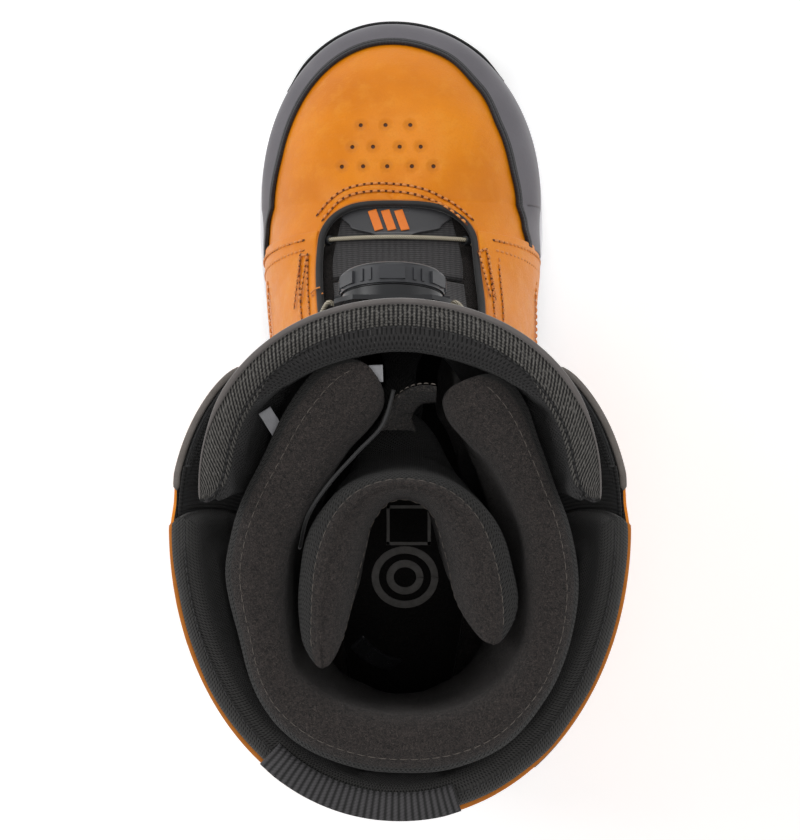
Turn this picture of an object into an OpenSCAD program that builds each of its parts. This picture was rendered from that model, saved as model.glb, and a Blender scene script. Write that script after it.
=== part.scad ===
// Right snowboard boot with a dial closure and a removable liner.
// Millimetres, +Z up, +Y towards the toe, +X to the outer (lateral) side of the foot.
// The origin is on the ground, at the middle of the boot's bounding box.

/* [Upper] */
// Length of the toe fan, from its pole to the tip of the upper
toe_length = 71.5; // [68:0.5:76]
// Height of the upper at the toe fan's pole, above the ground
toe_height = 101; // [96:1:106]
// Thickness of the outer leather
leather = 2.2; // [1.6:0.1:2.6]

/* [Sole] */
// Height of the midsole's floor, where the upper stands
floor_z = 28; // [26:0.5:28]
// Height of the midsole's side wall
wall_z = 37.5; // [35:0.5:40]
// Thickness of the rubber outsole, with its lugs
outsole_h = 7; // [6:0.5:8]
// Height of the lugs
lug_h = 3.4; // [2.5:0.1:4]
// Rise of the sole at the toe tip
toe_spring = 6; // [3:0.5:8]

/* [Closure] */
// Outer radius of the dial's grip
grip_r = 18.6; // [17.5:0.1:19.5]
// Height of the dial's centre above the ground
dial_z = 200; // [196:1:204]
// Radius of the lace
lace_r = 0.75; // [0.6:0.05:0.85]
// Radius of the bore of each lace guide
guide_bore = 0.95; // [0.9:0.05:1]

/* [Hidden] */
eps = 0.01;

// The pole of the toe fan, and the toe fan's own shape
pole = [-3, 78];
toe_outline_n = 2.1; // roundness of the toe's outline, seen from above
toe_profile_n = 1.7; // roundness of the toe's side profile
toe_sag = 9;         // how far the toe box dips below a plain dome
low_centre_z = 44;   // height of the widest line of the toe

// Each station is one cross-section of the upper:
// front y, front z, back y, back z, medial half-width, lateral half-width, centre x,
// centre's share of the way from back to front, front roundness, back roundness
STATIONS = [
    [pole[1], toe_height, pole[1], floor_z, 49.5, 56.5, -3, 0.22, 2.1, 4.0],
    [66, 110, 58, floor_z, 50, 57.5, -3, 0.22, 2.1, 4.0],
    [54, 121, 30, floor_z, 49.5, 57.5, -3, 0.23, 2.1, 4.0],
    [44, 134, -8, floor_z, 48, 56, -2, 0.27, 2.1, 4.0],
    [36, 148, -50, floor_z, 45.5, 52, -1, 0.32, 2.1, 4.0],
    [31, 160, -95, floor_z, 44, 47, -0.5, 0.38, 2.1, 3.6],
    [28.5, 169, -134, 29.5, 44, 45, 0, 0.42, 2.1, 2.8],
    [27, 176, -150, 44, 45, 46, 0, 0.46, 2.1, 2.4],
    [26, 184, -151.5, 70, 46.5, 47.5, 0, 0.48, 2.1, 2.3],
    [27, 194, -148, 105, 49, 50, 0, 0.50, 2.1, 2.2],
    [30, 208, -142.5, 145, 54, 55, 0, 0.52, 2.1, 2.2],
    [33, 226, -138.5, 185, 61, 61.5, 0, 0.54, 2.1, 2.15],
    [34, 248, -136.5, 222, 68, 68, 0, 0.55, 2.15, 2.1],
    [33, 272, -136, 255, 73.5, 73.5, 0, 0.56, 2.2, 2.05],
    [31.5, 300, -137, 290, 77, 77, 0, 0.56, 2.2, 2.05],
    [31, 328, -138.5, 325, 80, 80, 0, 0.56, 2.2, 2.05]
];
LAST = len(STATIONS) - 1;

// Station numbers of the main edges
vamp_end = 1.05;     // back edge of the vamp
throat_k = 1.2;      // where the throat reaches its full width
shaft_top = 13.2;    // top edge of the leather shaft
collar_top = 13.38;  // top edge of the padded collar
tongue_split = 2.3;  // hinge line of the tongue
tongue_top = 13.95;  // top edge of the tongue
hinge_b = 0.26;      // share of the way round where the flaps are hinged

// ---- curves ----

// Signed power, the building block of a superellipse
function spow(x, p) = sign(x) * pow(abs(x), p);
// Catmull-Rom curve between b and c
function curve(a, b, c, d, t) =
    0.5 * ((2 * b) + (c - a) * t + (2 * a - 5 * b + 4 * c - d) * t * t
        + (3 * b - a - 3 * c + d) * t * t * t);
function mix(a, b, t) = a + (b - a) * t;
function clamp(x, lo, hi) = min(max(x, lo), hi);
function ease(t) = let(c = clamp(t, 0, 1)) c * c * (3 - 2 * c);
// Reads a smooth value from [[x, value], ...]
function ramp(table, x) =
    x <= table[0][0] ? table[0][1]
    : x >= table[len(table) - 1][0] ? table[len(table) - 1][1]
    : let(i = max([for (j = [0 : len(table) - 2]) if (table[j][0] <= x) j]),
          t = (x - table[i][0]) / (table[i + 1][0] - table[i][0]))
      mix(table[i][1], table[i + 1][1], ease(t));
function station(k) =
    let(i = clamp(floor(k), 0, LAST - 1), t = clamp(k, 0, LAST) - i)
    curve(STATIONS[max(i - 1, 0)], STATIONS[i], STATIONS[i + 1], STATIONS[min(i + 2, LAST)], t);

// ---- the boot's outer surface ----
// q runs from the toe tip (0) along the lateral side (+) or the medial side (-): up to 1 is the
// toe fan, and above 1 it is 1 + the station number. u is the angle from the top or front (0)
// to the bottom or back (180).

function toe_point(side, angle, u) =
    let(
        width = side > 0 ? STATIONS[0][5] : STATIONS[0][4],
        reach = pow(pow(abs(sin(angle)) / width, toe_outline_n)
            + pow(abs(cos(angle)) / toe_length, toe_outline_n), -1 / toe_outline_n),
        part = ease(angle / 90),
        low = cos(u) < 0,
        n = low ? mix(3.2, STATIONS[0][9], part) : mix(toe_profile_n, STATIONS[0][8], part),
        t = pow(sin(u), 2 / n),
        lift = spow(cos(u), 2 / n),
        z = low ? low_centre_z + (low_centre_z - floor_z) * lift
            : low_centre_z + (toe_height - low_centre_z) * lift
              - toe_sag * pow(cos(angle), 2) * sqrt(t) * (1 - t)
    )
    [pole[0] + side * sin(angle) * reach * t, pole[1] + cos(angle) * reach * t, z];

function body_point(side, k, u) =
    let(
        s = station(k),
        front = [s[0], s[1]], back = [s[2], s[3]], centre = mix(back, front, s[7]),
        n = cos(u) < 0 ? s[9] : s[8],
        lift = spow(cos(u), 2 / n),
        yz = lift < 0 ? centre + (centre - back) * lift : centre + (front - centre) * lift,
        width = side > 0 ? s[5] : s[4]
    )
    [s[6] + side * width * pow(abs(sin(u)), 2 / n), yz[0], yz[1]];

function bare(q, u) =
    u < 0 ? bare(-q, -u) : u > 180 ? bare(-q, 360 - u)
    : abs(q) < 1 ? toe_point(q < 0 ? -1 : 1, abs(q) * 90, u)
    : body_point(q < 0 ? -1 : 1, abs(q) - 1, u);

// Outward normal, from small steps along and around the surface
function normal_at(q, u) =
    let(
        dq = bare(q + 0.03, u) - bare(q - 0.03, u),
        du = bare(q, u + 1.5) - bare(q, u - 1.5),
        n = cross(dq, du)
    )
    n / norm(n);
// A point d outside the surface
function skin(q, u, d = 0) = d == 0 ? bare(q, u) : bare(q, u) + d * normal_at(q, u);

// The angle where a section passes a height, on its lower half
function angle_at_height(q, z, lo = 90, hi = 180, steps = 14) =
    steps == 0 ? (lo + hi) / 2
    : let(mid = (lo + hi) / 2)
      bare(q, mid)[2] > z ? angle_at_height(q, z, mid, hi, steps - 1)
      : angle_at_height(q, z, lo, mid, steps - 1);
// The section whose back end is at a height: it closes the outline behind the heel
function heel_q(z, lo = 6, hi = 9, steps = 14) =
    steps == 0 ? (lo + hi) / 2
    : let(mid = (lo + hi) / 2)
      station(mid - 1)[3] > z ? heel_q(z, lo, mid, steps - 1) : heel_q(z, mid, hi, steps - 1);

// ---- edges of the panels ----

// Angle of the throat's edge
function throat_u(k) =
    let(full = 32 + 1.5 * k)
    k >= throat_k ? full : 0.4 + (full - 0.4) * sqrt(1 - pow(1 - max(k, 0) / throat_k, 2));
// Angle where the leather ends, inside the midsole's wall or at the back seam
edge_z = 33;
edge_q = heel_q(edge_z);
function edge_u(q) = abs(q) >= edge_q ? 179.6 : min(179.6, angle_at_height(q, edge_z));
// Angle a share b of the way round, from the throat to the back
function round_u(k, b) = mix(throat_u(k), edge_u(k + 1), b);
// Station of the seam between the quarter and the shaft
function ankle_k(b) = mix(6.2, 10.1, pow(b, 0.8));

// ---- solids made from the surface ----

// A closed curved plate. at(a, b) gives [q, u] for a and b from 0 to 1, and lo and hi give the
// depths of its two faces.
module plate(at, lo, hi, na, nb) {
    grid = [for (i = [0 : na]) for (j = [0 : nb]) [i / na, j / nb]];
    outer = [for (g = grid) let(p = at(g[0], g[1])) skin(p[0], p[1], hi(g[0], g[1]))];
    inner = [for (g = grid) let(p = at(g[0], g[1])) skin(p[0], p[1], lo(g[0], g[1]))];
    closed_plate(outer, inner, na, nb);
}
// A closed plate between two grids of points
module closed_plate(outer, inner, na, nb) {
    count = (na + 1) * (nb + 1);
    function id(i, j) = i * (nb + 1) + j;
    mid = id(floor(na / 2), floor(nb / 2));
    turn = cross(outer[mid + nb + 1] - outer[mid], outer[mid + 1] - outer[mid])
        * (outer[mid] - inner[mid]) > 0;
    faces = concat(
        [for (i = [0 : na - 1]) for (j = [0 : nb - 1])
            each [[id(i, j), id(i, j + 1), id(i + 1, j + 1)], [id(i, j), id(i + 1, j + 1), id(i + 1, j)]]],
        [for (i = [0 : na - 1]) for (j = [0 : nb - 1])
            each [[count + id(i, j), count + id(i + 1, j + 1), count + id(i, j + 1)],
                  [count + id(i, j), count + id(i + 1, j), count + id(i + 1, j + 1)]]],
        [for (i = [0 : na - 1])
            each [[id(i, 0), id(i + 1, 0), count + id(i + 1, 0)], [id(i, 0), count + id(i + 1, 0), count + id(i, 0)]]],
        [for (i = [0 : na - 1])
            each [[id(i, nb), count + id(i + 1, nb), id(i + 1, nb)], [id(i, nb), count + id(i, nb), count + id(i + 1, nb)]]],
        [for (j = [0 : nb - 1])
            each [[id(0, j), count + id(0, j + 1), id(0, j + 1)], [id(0, j), count + id(0, j), count + id(0, j + 1)]]],
        [for (j = [0 : nb - 1])
            each [[id(na, j), id(na, j + 1), count + id(na, j + 1)], [id(na, j), count + id(na, j + 1), count + id(na, j)]]]
    );
    polyhedron(concat(outer, inner), turn ? [for (f = faces) [f[0], f[2], f[1]]] : faces, convexity = 10);
}
// Faces over a loop of n points from its id onwards, in strips from one side to the other
function cap(n, id, top) =
    let(strips = [for (j = [0 : n / 2 - 1]) each
        concat(j == 0 ? [] : [[j, j + 1, n - j]], j == n / 2 - 1 ? [] : [[j + 1, n - j - 1, j == 0 ? 0 : n - j]])])
    [for (f = strips) top ? [id + f[0], id + f[1], id + f[2]] : [id + f[0], id + f[2], id + f[1]]];
// A solid through closed loops of points
module loft(loops) {
    n = len(loops[0]);
    last = len(loops) - 1;
    faces = concat(
        [for (i = [0 : last - 1]) for (j = [0 : n - 1]) let(m = (j + 1) % n)
            each [[i * n + j, i * n + m, (i + 1) * n + m], [i * n + j, (i + 1) * n + m, (i + 1) * n + j]]],
        cap(n, 0, false), cap(n, last * n, true)
    );
    inside_out = turns_clockwise(loops[0]) == (mean(loops[1])[2] > mean(loops[0])[2]);
    polyhedron([for (l = loops) each l], inside_out ? faces : [for (f = faces) [f[0], f[2], f[1]]], convexity = 10);
}
function mean(points) = [for (i = [0 : 2]) sum([for (p = points) p[i]]) / len(points)];
function sum(list, i = 0) = i == len(list) ? 0 : list[i] + sum(list, i + 1);
function turns_clockwise(loop) =
    sum([for (i = [0 : len(loop) - 1]) let(a = loop[i], b = loop[(i + 1) % len(loop)])
        a[0] * b[1] - a[1] * b[0]]) < 0;

// A round cord along a path
module cord(path, radius, sides = 8) {
    last = len(path) - 1;
    tangents = [for (i = [0 : last]) let(t = path[min(i + 1, last)] - path[max(i - 1, 0)]) t / norm(t)];
    ups = carried(tangents);
    rings = [for (i = [0 : last]) for (j = [0 : sides - 1])
        path[i] + radius * (cos(j * 360 / sides) * ups[i] + sin(j * 360 / sides) * cross(tangents[i], ups[i]))];
    faces = concat(
        [for (i = [0 : last - 1]) for (j = [0 : sides - 1]) let(m = (j + 1) % sides)
            each [[i * sides + j, (i + 1) * sides + m, i * sides + m], [i * sides + j, (i + 1) * sides + j, (i + 1) * sides + m]]],
        [[for (j = [0 : sides - 1]) j]],
        [[for (j = [0 : sides - 1]) last * sides + sides - 1 - j]]
    );
    polyhedron(rings, faces, convexity = 10);
}
// A direction across the path, carried along it without twisting
function carried(tangents, i = 0, found = []) =
    i == len(tangents) ? found
    : let(seed = i == 0 ? (abs(tangents[0][2]) < 0.8 ? [0, 0, 1] : [0, 1, 0]) : found[i - 1],
          across = seed - (seed * tangents[i]) * tangents[i])
      carried(tangents, i + 1, concat(found, [across / norm(across)]));
// A smooth path through points
function through(points, steps) =
    concat([for (i = [0 : len(points) - 2]) for (s = [0 : steps - 1])
        curve(points[max(i - 1, 0)], points[i], points[i + 1], points[min(i + 2, len(points) - 1)], s / steps)],
        [points[len(points) - 1]]);

// Places children at a point of the surface: X towards the throat, Y up the boot, Z outwards
module on_skin(side, k, u, d) {
    q = side * (k + 1);
    p = skin(q, u, d);
    n = normal_at(q, u);
    along = bare(q + side * 0.05, u) - bare(q - side * 0.05, u);
    flat = along - (along * n) * n;
    y = flat / norm(flat);
    x = cross(y, n);
    multmatrix([[x[0], y[0], n[0], p[0]], [x[1], y[1], n[1], p[1]], [x[2], y[2], n[2], p[2]], [0, 0, 0, 1]])
        children();
}

// ---- sole ----

// Share of the outline's points that go round the toe fan
toe_share = 0.35;
side_points = 30;
function outline_q(s, level) =
    let(a = abs(s), end = heel_q(level))
    sign(s) * (a < toe_share ? a / toe_share : 1 + (a - toe_share) / (1 - toe_share) * (end - 1));
function rim_point(q, level) = skin(q, abs(q) >= heel_q(level) ? 180 : angle_at_height(q, level));
// The upper's outline at a height, grown by d and by a flare under the forefoot, as a closed
// list of [x, y]
function outline(level, d = 0, flare = 0) =
    let(
        steps = [for (i = [-side_points : side_points - 1]) i / side_points],
        raw = [for (s = steps) let(p = rim_point(outline_q(s, level), level)) [p[0], p[1]]],
        n = len(raw)
    )
    [for (i = [0 : n - 1])
        let(t = raw[(i + 1) % n] - raw[(i + n - 1) % n], out = [-t[1], t[0]] / norm(t))
            raw[i] + (d + flare * ease((raw[i][1] - 10) / 70)) * out];
// Rise of the sole near the toe
function spring(y) = y < 80 ? 0 : toe_spring * pow((y - 80) / 75, 2);
function at_height(flat, z, share = 1) = [for (p = flat) [p[0], p[1], z + share * spring(p[1])]];

tread_level = 36; // the upper's outline that the sole follows
module midsole() {
    // z, growth of the outline, share of the toe spring, and flare of each loop
    outside = [[outsole_h + 0.1, 0.6, 1, 1], [outsole_h + 4, 1.6, 0.9, 2.8], [20, 1.9, 0.6, 3.7],
        [30, 1.8, 0.3, 3.8], [wall_z - 1, 1.4, 0, 3.6], [wall_z, 1, 0, 2.8]];
    color("gainsboro") loft(concat(
        [for (l = outside) at_height(outline(tread_level, l[1], l[3]), l[0], l[2])],
        [at_height(outline(wall_z, 0.5), wall_z - 0.3, 0),
         at_height(outline(33.5, 0.5), 33.5, 0),
         at_height(outline(30, 0.5), floor_z - 0.2, 0)]
    ));
}
// One lug of the tread, from its corners
module lug(x, y, w, l, skew = 0) {
    corners = [[x - w / 2, y - l / 2], [x + w / 2, y - l / 2 + skew], [x + w / 2, y + l / 2 + skew], [x - w / 2, y + l / 2]];
    low = [for (c = corners) [c[0] * 0.97 + x * 0.03, c[1] * 0.97 + y * 0.03, spring(c[1])]];
    high = [for (c = corners) [c[0], c[1], spring(c[1]) + lug_h + 1]];
    loft([low, high]);
}
// Half-width of the tread at y, between the toe and the heel
tread_table = [[-140, 16], [-128, 26], [-110, 32], [-70, 33], [-30, 33], [10, 38], [50, 45], [90, 46], [115, 40], [135, 26], [145, 14]];
module tread() {
    for (y = [-136 : 12 : -76]) for (side = [-1, 1])
        lug(side * ramp(tread_table, y) * 0.62, y, ramp(tread_table, y) * 0.66, 7.5, side * 2.5);
    for (y = [-4 : 12 : 140]) for (side = [-1, 1])
        lug(-1 + side * ramp(tread_table, y) * 0.56, y, ramp(tread_table, y) * 0.58, 7.5, side * 2.5);
    for (y = [2 : 24 : 110])
        lug(-1, y, 6, 6);
}
module outsole() {
    color("dimgray") {
        loft([for (l = [[lug_h, -3, 0.5], [lug_h + 1, -0.8, 0.8], [outsole_h, 0.4, 1]])
            at_height(outline(tread_level, l[1], l[2]), l[0])]);
        tread();
    }
}
module toe_bumper() {
    steps = [-0.44 : 0.055 : 0.45];
    function bumper_point(q, z, d) =
        let(level = max(z, tread_level), p = skin(q, angle_at_height(q, level)), n = normal_at(q, 90),
            flat = [n[0], n[1]] / norm([n[0], n[1]]))
        [p[0] + d * flat[0], p[1] + d * flat[1], z < 30 ? z + spring(p[1]) * (1 - z / 60) : z];
    // Height and the two depths of each row, from the tread to the top edge
    rows = [[4.2, 2, 3.2], [12, 5.2, 6.4], [21, 6, 7.2], [30, 6, 7], [38, 5.2, 6.2], [41, 4.6, 5.6]];
    qs = [for (q = steps) q];
    color("black") closed_plate(
        [for (q = qs) for (r = rows) bumper_point(q, r[0], r[2])],
        [for (q = qs) for (r = rows) bumper_point(q, r[0], r[1])], len(qs) - 1, len(rows) - 1);
}
module lasting_board() {
    color("tan") loft([at_height(outline(30, -0.3), floor_z, 0), at_height(outline(30, -0.3), floor_z + 2.4, 0)]);
}

// ---- leather upper ----

module vamp() {
    reach = 1 + vamp_end;
    color("darkorange") plate(
        function(a, b) let(q = mix(-reach, reach, a), aq = abs(q))
            [q, mix(throat_u(aq - 1), edge_u(q), b)],
        function(a, b) -leather, function(a, b) 0, 30, 12);
}
// Angle of the rand's top edge, higher on the lateral side
function rand_u(q) = q < 0
    ? ramp([[0, 67], [0.4, 66.5], [0.7, 66], [1, 71], [1.6, 79], [2.05, 82]], -q)
    : ramp([[0, 67], [0.2, 65.5], [0.4, 61], [0.6, 57], [0.8, 56.5], [1, 59], [1.6, 62.5], [2.05, 66]], q);
// Share of the rand's full thickness, less towards its ends
function rand_swell(q) = mix(1, 0.4, ease((abs(q) - 0.6) / 1.1));
module toe_rand() {
    reach = 1.02 + vamp_end;
    color("dimgray") plate(
        function(a, b) let(q = mix(-reach, reach, a))
            [q, mix(rand_u(q), min(edge_u(q), angle_at_height(q, wall_z + 1)), b)],
        function(a, b) 0.15,
        function(a, b) 0.9 + rand_swell(mix(-reach, reach, a)) * (2.9 * ease(2.2 * b) - 0.7 * ease((b - 0.7) / 0.3)), 30, 6);
}
module quarter(side) {
    color("darkorange") plate(
        function(a, b) let(k = mix(vamp_end + 0.03, ankle_k(b), a)) [side * (k + 1), round_u(k, b)],
        function(a, b) -leather, function(a, b) 0, 16, 14);
}
module shaft(side) {
    color("darkorange") plate(
        function(a, b) let(share = mix(hinge_b + 0.012, 1, b), k = mix(ankle_k(share) + 0.06, shaft_top, a))
            [side * (k + 1), round_u(k, share)],
        function(a, b) -leather, function(a, b) 0, 12, 12);
}
// How far the flap stands off, from its hinge to its free edge
function flap_lift(b) = 5.4 * pow(1 - b, 1.3);
function flap_top(b) = mix(11.35, 13.0, sqrt(clamp(b * 1.25, 0, 1)));
module flap(side) {
    color("black") plate(
        function(a, b) let(share = b * (hinge_b - 0.012),
                k = mix(ankle_k(share) + 0.12, flap_top(b), a))
            [side * (k + 1), round_u(k, share)],
        function(a, b) -leather + 0.4 * flap_lift(b) * ease(a * 2.2),
        function(a, b) flap_lift(b) * ease(a * 2.2), 12, 8);
}
// A panel over the back: c runs from the medial edge (0) to the lateral edge (1)
function over_back(c, k, half) =
    let(v = mix(-half, half, c)) [(v < 0 ? -1 : 1) * (k + 1), 180 - abs(v)];
module heel_panel() {
    color("black") plate(
        function(a, b) over_back(b, mix(6.75, 9.0, a), mix(46, 40, a)),
        function(a, b) 0.15, function(a, b) 1.9, 8, 12);
}
module heel_counter() {
    color("dimgray") plate(
        function(a, b) over_back(b, mix(6.9, 9.2, a), mix(62, 50, a)),
        function(a, b) -4.8, function(a, b) -leather - 0.8, 8, 14);
}
module backstay() {
    color("black") plate(
        function(a, b) over_back(b, mix(9.06, 13.0, a), mix(15, 9, a)),
        function(a, b) 0.15, function(a, b) 1.6, 10, 4);
}
module ankle_badge() {
    color("black") plate(
        function(a, b) [mix(11.6, 12.9, a) + 1, mix(122, 142, b) + 6 * (a - 0.5)],
        function(a, b) 0.15, function(a, b) 2.2, 5, 5);
}
// Thickness of the padded collar
function collar_depth(k) = ramp([[10.8, 4.5], [12, 9.5], [13, 10.5], [collar_top, 9]], k);
module collar_pad() {
    rows = [10.8, 11.4, 12, 12.6, 13.1, 13.28, collar_top];
    color("black") plate(
        function(a, b) let(k = rows[round(a * 6)], c = mix(-1, 1, b), share = mix(1, hinge_b + 0.015, abs(c)))
            [(c < 0 ? -1 : 1) * (k + 1), round_u(k, share)],
        function(a, b) let(k = rows[round(a * 6)]) -leather - 0.3 - collar_depth(k) + (a > 0.99 ? 1.5 : 0),
        function(a, b) -leather - 0.3 - (a > 0.99 ? 2 : 0), 6, 30);
}

// ---- tongue ----

// A strip across the front: c runs from the medial edge (0) to the lateral edge (1)
function over_front(c, k, half) =
    let(v = mix(-half, half, c)) [(v < 0 ? -1 : 1) * (k + 1), max(abs(v), 0.01)];
// Half-angle of the tongue
function tongue_half(k) =
    ramp([[0, 24], [2, throat_u(2) - 5], [6.4, throat_u(6.4) - 4], [8.5, 60], [11, 78], [13, 82]], k);
// Depth of the tongue's outer face
function tongue_out(k, c) =
    let(v = abs(2 * c - 1)) ramp([[2, -4.2], [5, -2.6], [8, -0.6]], k)
        - ramp([[6, 0], [9, 7], [12, 13]], k) * pow(v, 1.4);
module tongue_base() {
    color("black") plate(
        function(a, b) over_front(b, mix(0.15, tongue_split - 0.12, a), tongue_half(mix(0.15, tongue_split - 0.12, a))),
        function(a, b) -7, function(a, b) -4.2, 5, 10);
}
module tongue_badge() {
    color("black") plate(
        function(a, b) over_front(b, mix(0.12, 1.0, a), ramp([[0, 15], [0.35, 24], [0.7, 19], [1, 7]], a)),
        function(a, b) -4.05, function(a, b) -3.1, 5, 10);
}
module tongue_body() {
    color("black") plate(
        function(a, b) let(k = mix(tongue_split, tongue_top, a)) over_front(b, k, tongue_half(k)),
        function(a, b) let(k = mix(tongue_split, tongue_top, a)) tongue_out(k, b) - mix(2.8, 4, a),
        function(a, b) tongue_out(mix(tongue_split, tongue_top, a), b), 20, 20);
}
module tongue_pad() {
    rows = [11.6, 12.1, 12.7, 13.3, 13.75, 14];
    depth = [5, 8, 10.5, 11.5, 11, 8];
    color("dimgray") plate(
        function(a, b) let(k = rows[round(a * 5)]) over_front(b, k, tongue_half(k) - 1),
        function(a, b) let(i = round(a * 5)) tongue_out(rows[i], b) - 4.3 - depth[i] * (1 - 0.5 * ease(1.6 * abs(2 * b - 1) - 0.2)),
        function(a, b) let(i = round(a * 5)) tongue_out(rows[i], b) - 4.3, 5, 22);
}
module tongue_binding() {
    color("gray") plate(
        function(a, b) over_front(b, mix(tongue_top + 0.01, tongue_top + 0.09, a), tongue_half(14)),
        function(a, b) tongue_out(14, b) - 3.8, function(a, b) tongue_out(14, b) + 0.7, 1, 22);
}
module tongue_label() {
    color("white") plate(
        function(a, b) over_front(mix(0.36, 0.46, b), mix(10.4, 11.4, a), tongue_half(11)),
        function(a, b) tongue_out(11, 0.4) - 5.4, function(a, b) tongue_out(11, 0.4) - 4.7, 2, 2);
}

// ---- dial ----

dial_x = -2.6;
dial_y = 29.9;   // the tongue's front face under the dial
dial_lean = 13;  // how far the dial faces downwards
spool_r = 12.4;
post_r = 2.5;
knob_h = 6.6;    // the knob's back face, above the tongue
rim_r = grip_r - 1.3;
module on_dial() translate([dial_x, dial_y, dial_z]) rotate([-90 - dial_lean, 0, 0]) children();
module dial_plate() {
    color("black") on_dial() difference() {
        linear_extrude(1.6) intersection() {
            square([40, 42], center = true);
            circle(25, $fn = 64);
        }
        for (x = [-14.5, 14.5]) for (y = [-14.5, 14.5]) translate([x, y, -1]) cylinder(h = 4, r = 1.1, $fn = 24);
    }
}
module dial_base() {
    color("black") on_dial() translate([0, 0, 1.7]) difference() {
        union() {
            cylinder(h = 4.5, r = 17.6, $fn = 64);
            for (x = [-1, 1]) translate([x * 16 - 4, -4, 0]) cube([8, 8, 4]);
        }
        translate([0, 0, 1.3]) cylinder(h = 5, r = spool_r + 0.35, $fn = 64);
        translate([0, 0, -1]) cylinder(h = 4, r = post_r, $fn = 32);
        for (x = [-1, 1]) translate([x * 10, 0, 2.2]) rotate([0, x * 90, 0])
            cylinder(h = 12, r = guide_bore, $fn = 24);
    }
}
module dial_spool() {
    color("gray") on_dial() translate([0, 0, 3.35]) rotate_extrude($fn = 64)
        polygon([[post_r + 0.05, 0], [spool_r, 0], [spool_r, 0.7], [9, 1.1], [9, 2.1], [spool_r, 2.5],
            [spool_r, 3.2], [post_r + 0.05, 3.2]]);
}
module dial_pawl_disc() {
    color("dimgray") on_dial() translate([0, 0, 6.65]) difference() {
        cylinder(h = 1.5, r = 12.2, $fn = 64);
        translate([0, 0, -1]) cylinder(h = 4, r = post_r + 0.05, $fn = 32);
        for (i = [0 : 11]) rotate(i * 30) translate([12.6, 0, -1]) cylinder(h = 4, r = 1.4, $fn = 16);
    }
}
module dial_screw() {
    color("silver") on_dial() difference() {
        union() {
            translate([0, 0, 1.65]) cylinder(h = 6.9, r = post_r, $fn = 32);
            translate([0, 0, 8.5]) cylinder(h = 1.6, r = 4.2, $fn = 32);
        }
        translate([0, 0, 9.2]) cylinder(h = 2, r = 1.5, $fn = 6);
    }
}
module dial_knob() {
    color("black") on_dial() translate([0, 0, knob_h]) difference() {
        rotate_extrude($fn = 64) polygon(concat(
            [[13.2, 0], [rim_r, 0], [rim_r, 7]],
            [for (a = [0 : 18 : 90]) [rim_r - 1.6 + 1.6 * cos(a), 7 + 1.2 * sin(a)]],
            [for (r = [13 : -3 : 1]) [r, 8.2 + 1.3 * (1 - pow(r / 16, 2))]],
            [[0, 9.5], [0, 6.2], [13.2, 6.2]]));
        for (i = [0 : 5]) rotate(i * 60) translate([11.2, 0, 8.3]) cylinder(h = 3, r = 1.1, $fn = 24);
    }
}
module dial_grip() {
    color("dimgray") on_dial() translate([0, 0, knob_h + 0.4]) difference() {
        union() {
            cylinder(h = 6.4, r = grip_r - 0.5, $fn = 64);
            for (i = [0 : 5]) rotate(i * 60 + 30) {
                translate([grip_r - 2, -4.4, 1.1]) cube([2, 8.8, 4.2]);
                for (a = [25, 35]) rotate(a) translate([grip_r - 1.9, -0.6, 1]) cube([2, 1.2, 4.4]);
            }
        }
        translate([0, 0, -1]) cylinder(h = 9, r = rim_r + 0.05, $fn = 64);
    }
}

// ---- lace and guides ----

toe_cross_k = 1.08;
ankle_cross_k = 4.6;
flap_guide_k = 8.6;
channel_d = -4.6; // the lace's depth under the eyestay
// Angle of the lace's channel under the eyestay
function channel_u(k) = throat_u(k) + 5;
// The lower run on one side: from the middle of the throat, under the eyestay, to the ankle
function lower_path(side) = concat(
    [for (c = [0 : 0.2 : 1]) skin(side * (toe_cross_k + 1), max(c * (throat_u(toe_cross_k) - 5), 0.01), mix(-2.9, -3.1, c))],
    [skin(side * (toe_cross_k + 1), throat_u(toe_cross_k) - 0.5, -4.3)],
    [for (k = [1.45 : 0.45 : 4.2]) skin(side * (k + 1), channel_u(k), channel_d)],
    [skin(side * (ankle_cross_k + 1), throat_u(ankle_cross_k) + 1.4, -4.3)]);
module lace_lower() {
    half = lower_path(1);
    other = lower_path(-1);
    route = concat([for (i = [len(other) - 1 : -1 : 1]) other[i]], half);
    color("lightgray") cord(through(route, 3), lace_r);
}
// A point in the dial's lace port on one side, out from the spool's axis
function port(side, out) = [dial_x + side * out, dial_y + 3.9 * cos(dial_lean), dial_z - 3.9 * sin(dial_lean)];
// The lace's turn through a flap's guide, from its lower leg (0) to its upper leg (180)
function guide_turn(side, angle) =
    let(q = side * (flap_guide_k - 0.28 * cos(angle) + 1), u = throat_u(flap_guide_k) - 4.5)
    skin(q, u + 3.6 * sin(angle), 7.7);
// The upper run: from one side's eyestay over the tongue to the other side's flap, and to the dial
function upper_path(side) = concat(
    [skin(side * (ankle_cross_k + 1), throat_u(ankle_cross_k) - 2.4, -1.2)],
    [for (t = [0.15 : 0.14 : 0.86])
        let(v = mix(-throat_u(ankle_cross_k) + 3, throat_u(flap_guide_k) - 10, t), k = mix(ankle_cross_k, flap_guide_k - 0.4, t))
        skin((v < 0 ? side : -side) * (k + 1), max(abs(v), 0.01), 1.6 + 3.4 * t + (side > 0 ? 2.2 : 0) * sin(180 * t))],
    [for (a = [-45, 0, 30, 60, 90, 120, 150, 180, 225]) guide_turn(-side, a)],
    [mix(guide_turn(-side, 225), port(-side, 23), 0.5), port(-side, 23), port(-side, 20), port(-side, 15)]);
module lace_medial() color("lightgray") cord(through(upper_path(-1), 3), lace_r);
module lace_lateral() color("lightgray") cord(through(upper_path(1), 3), lace_r);
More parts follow.
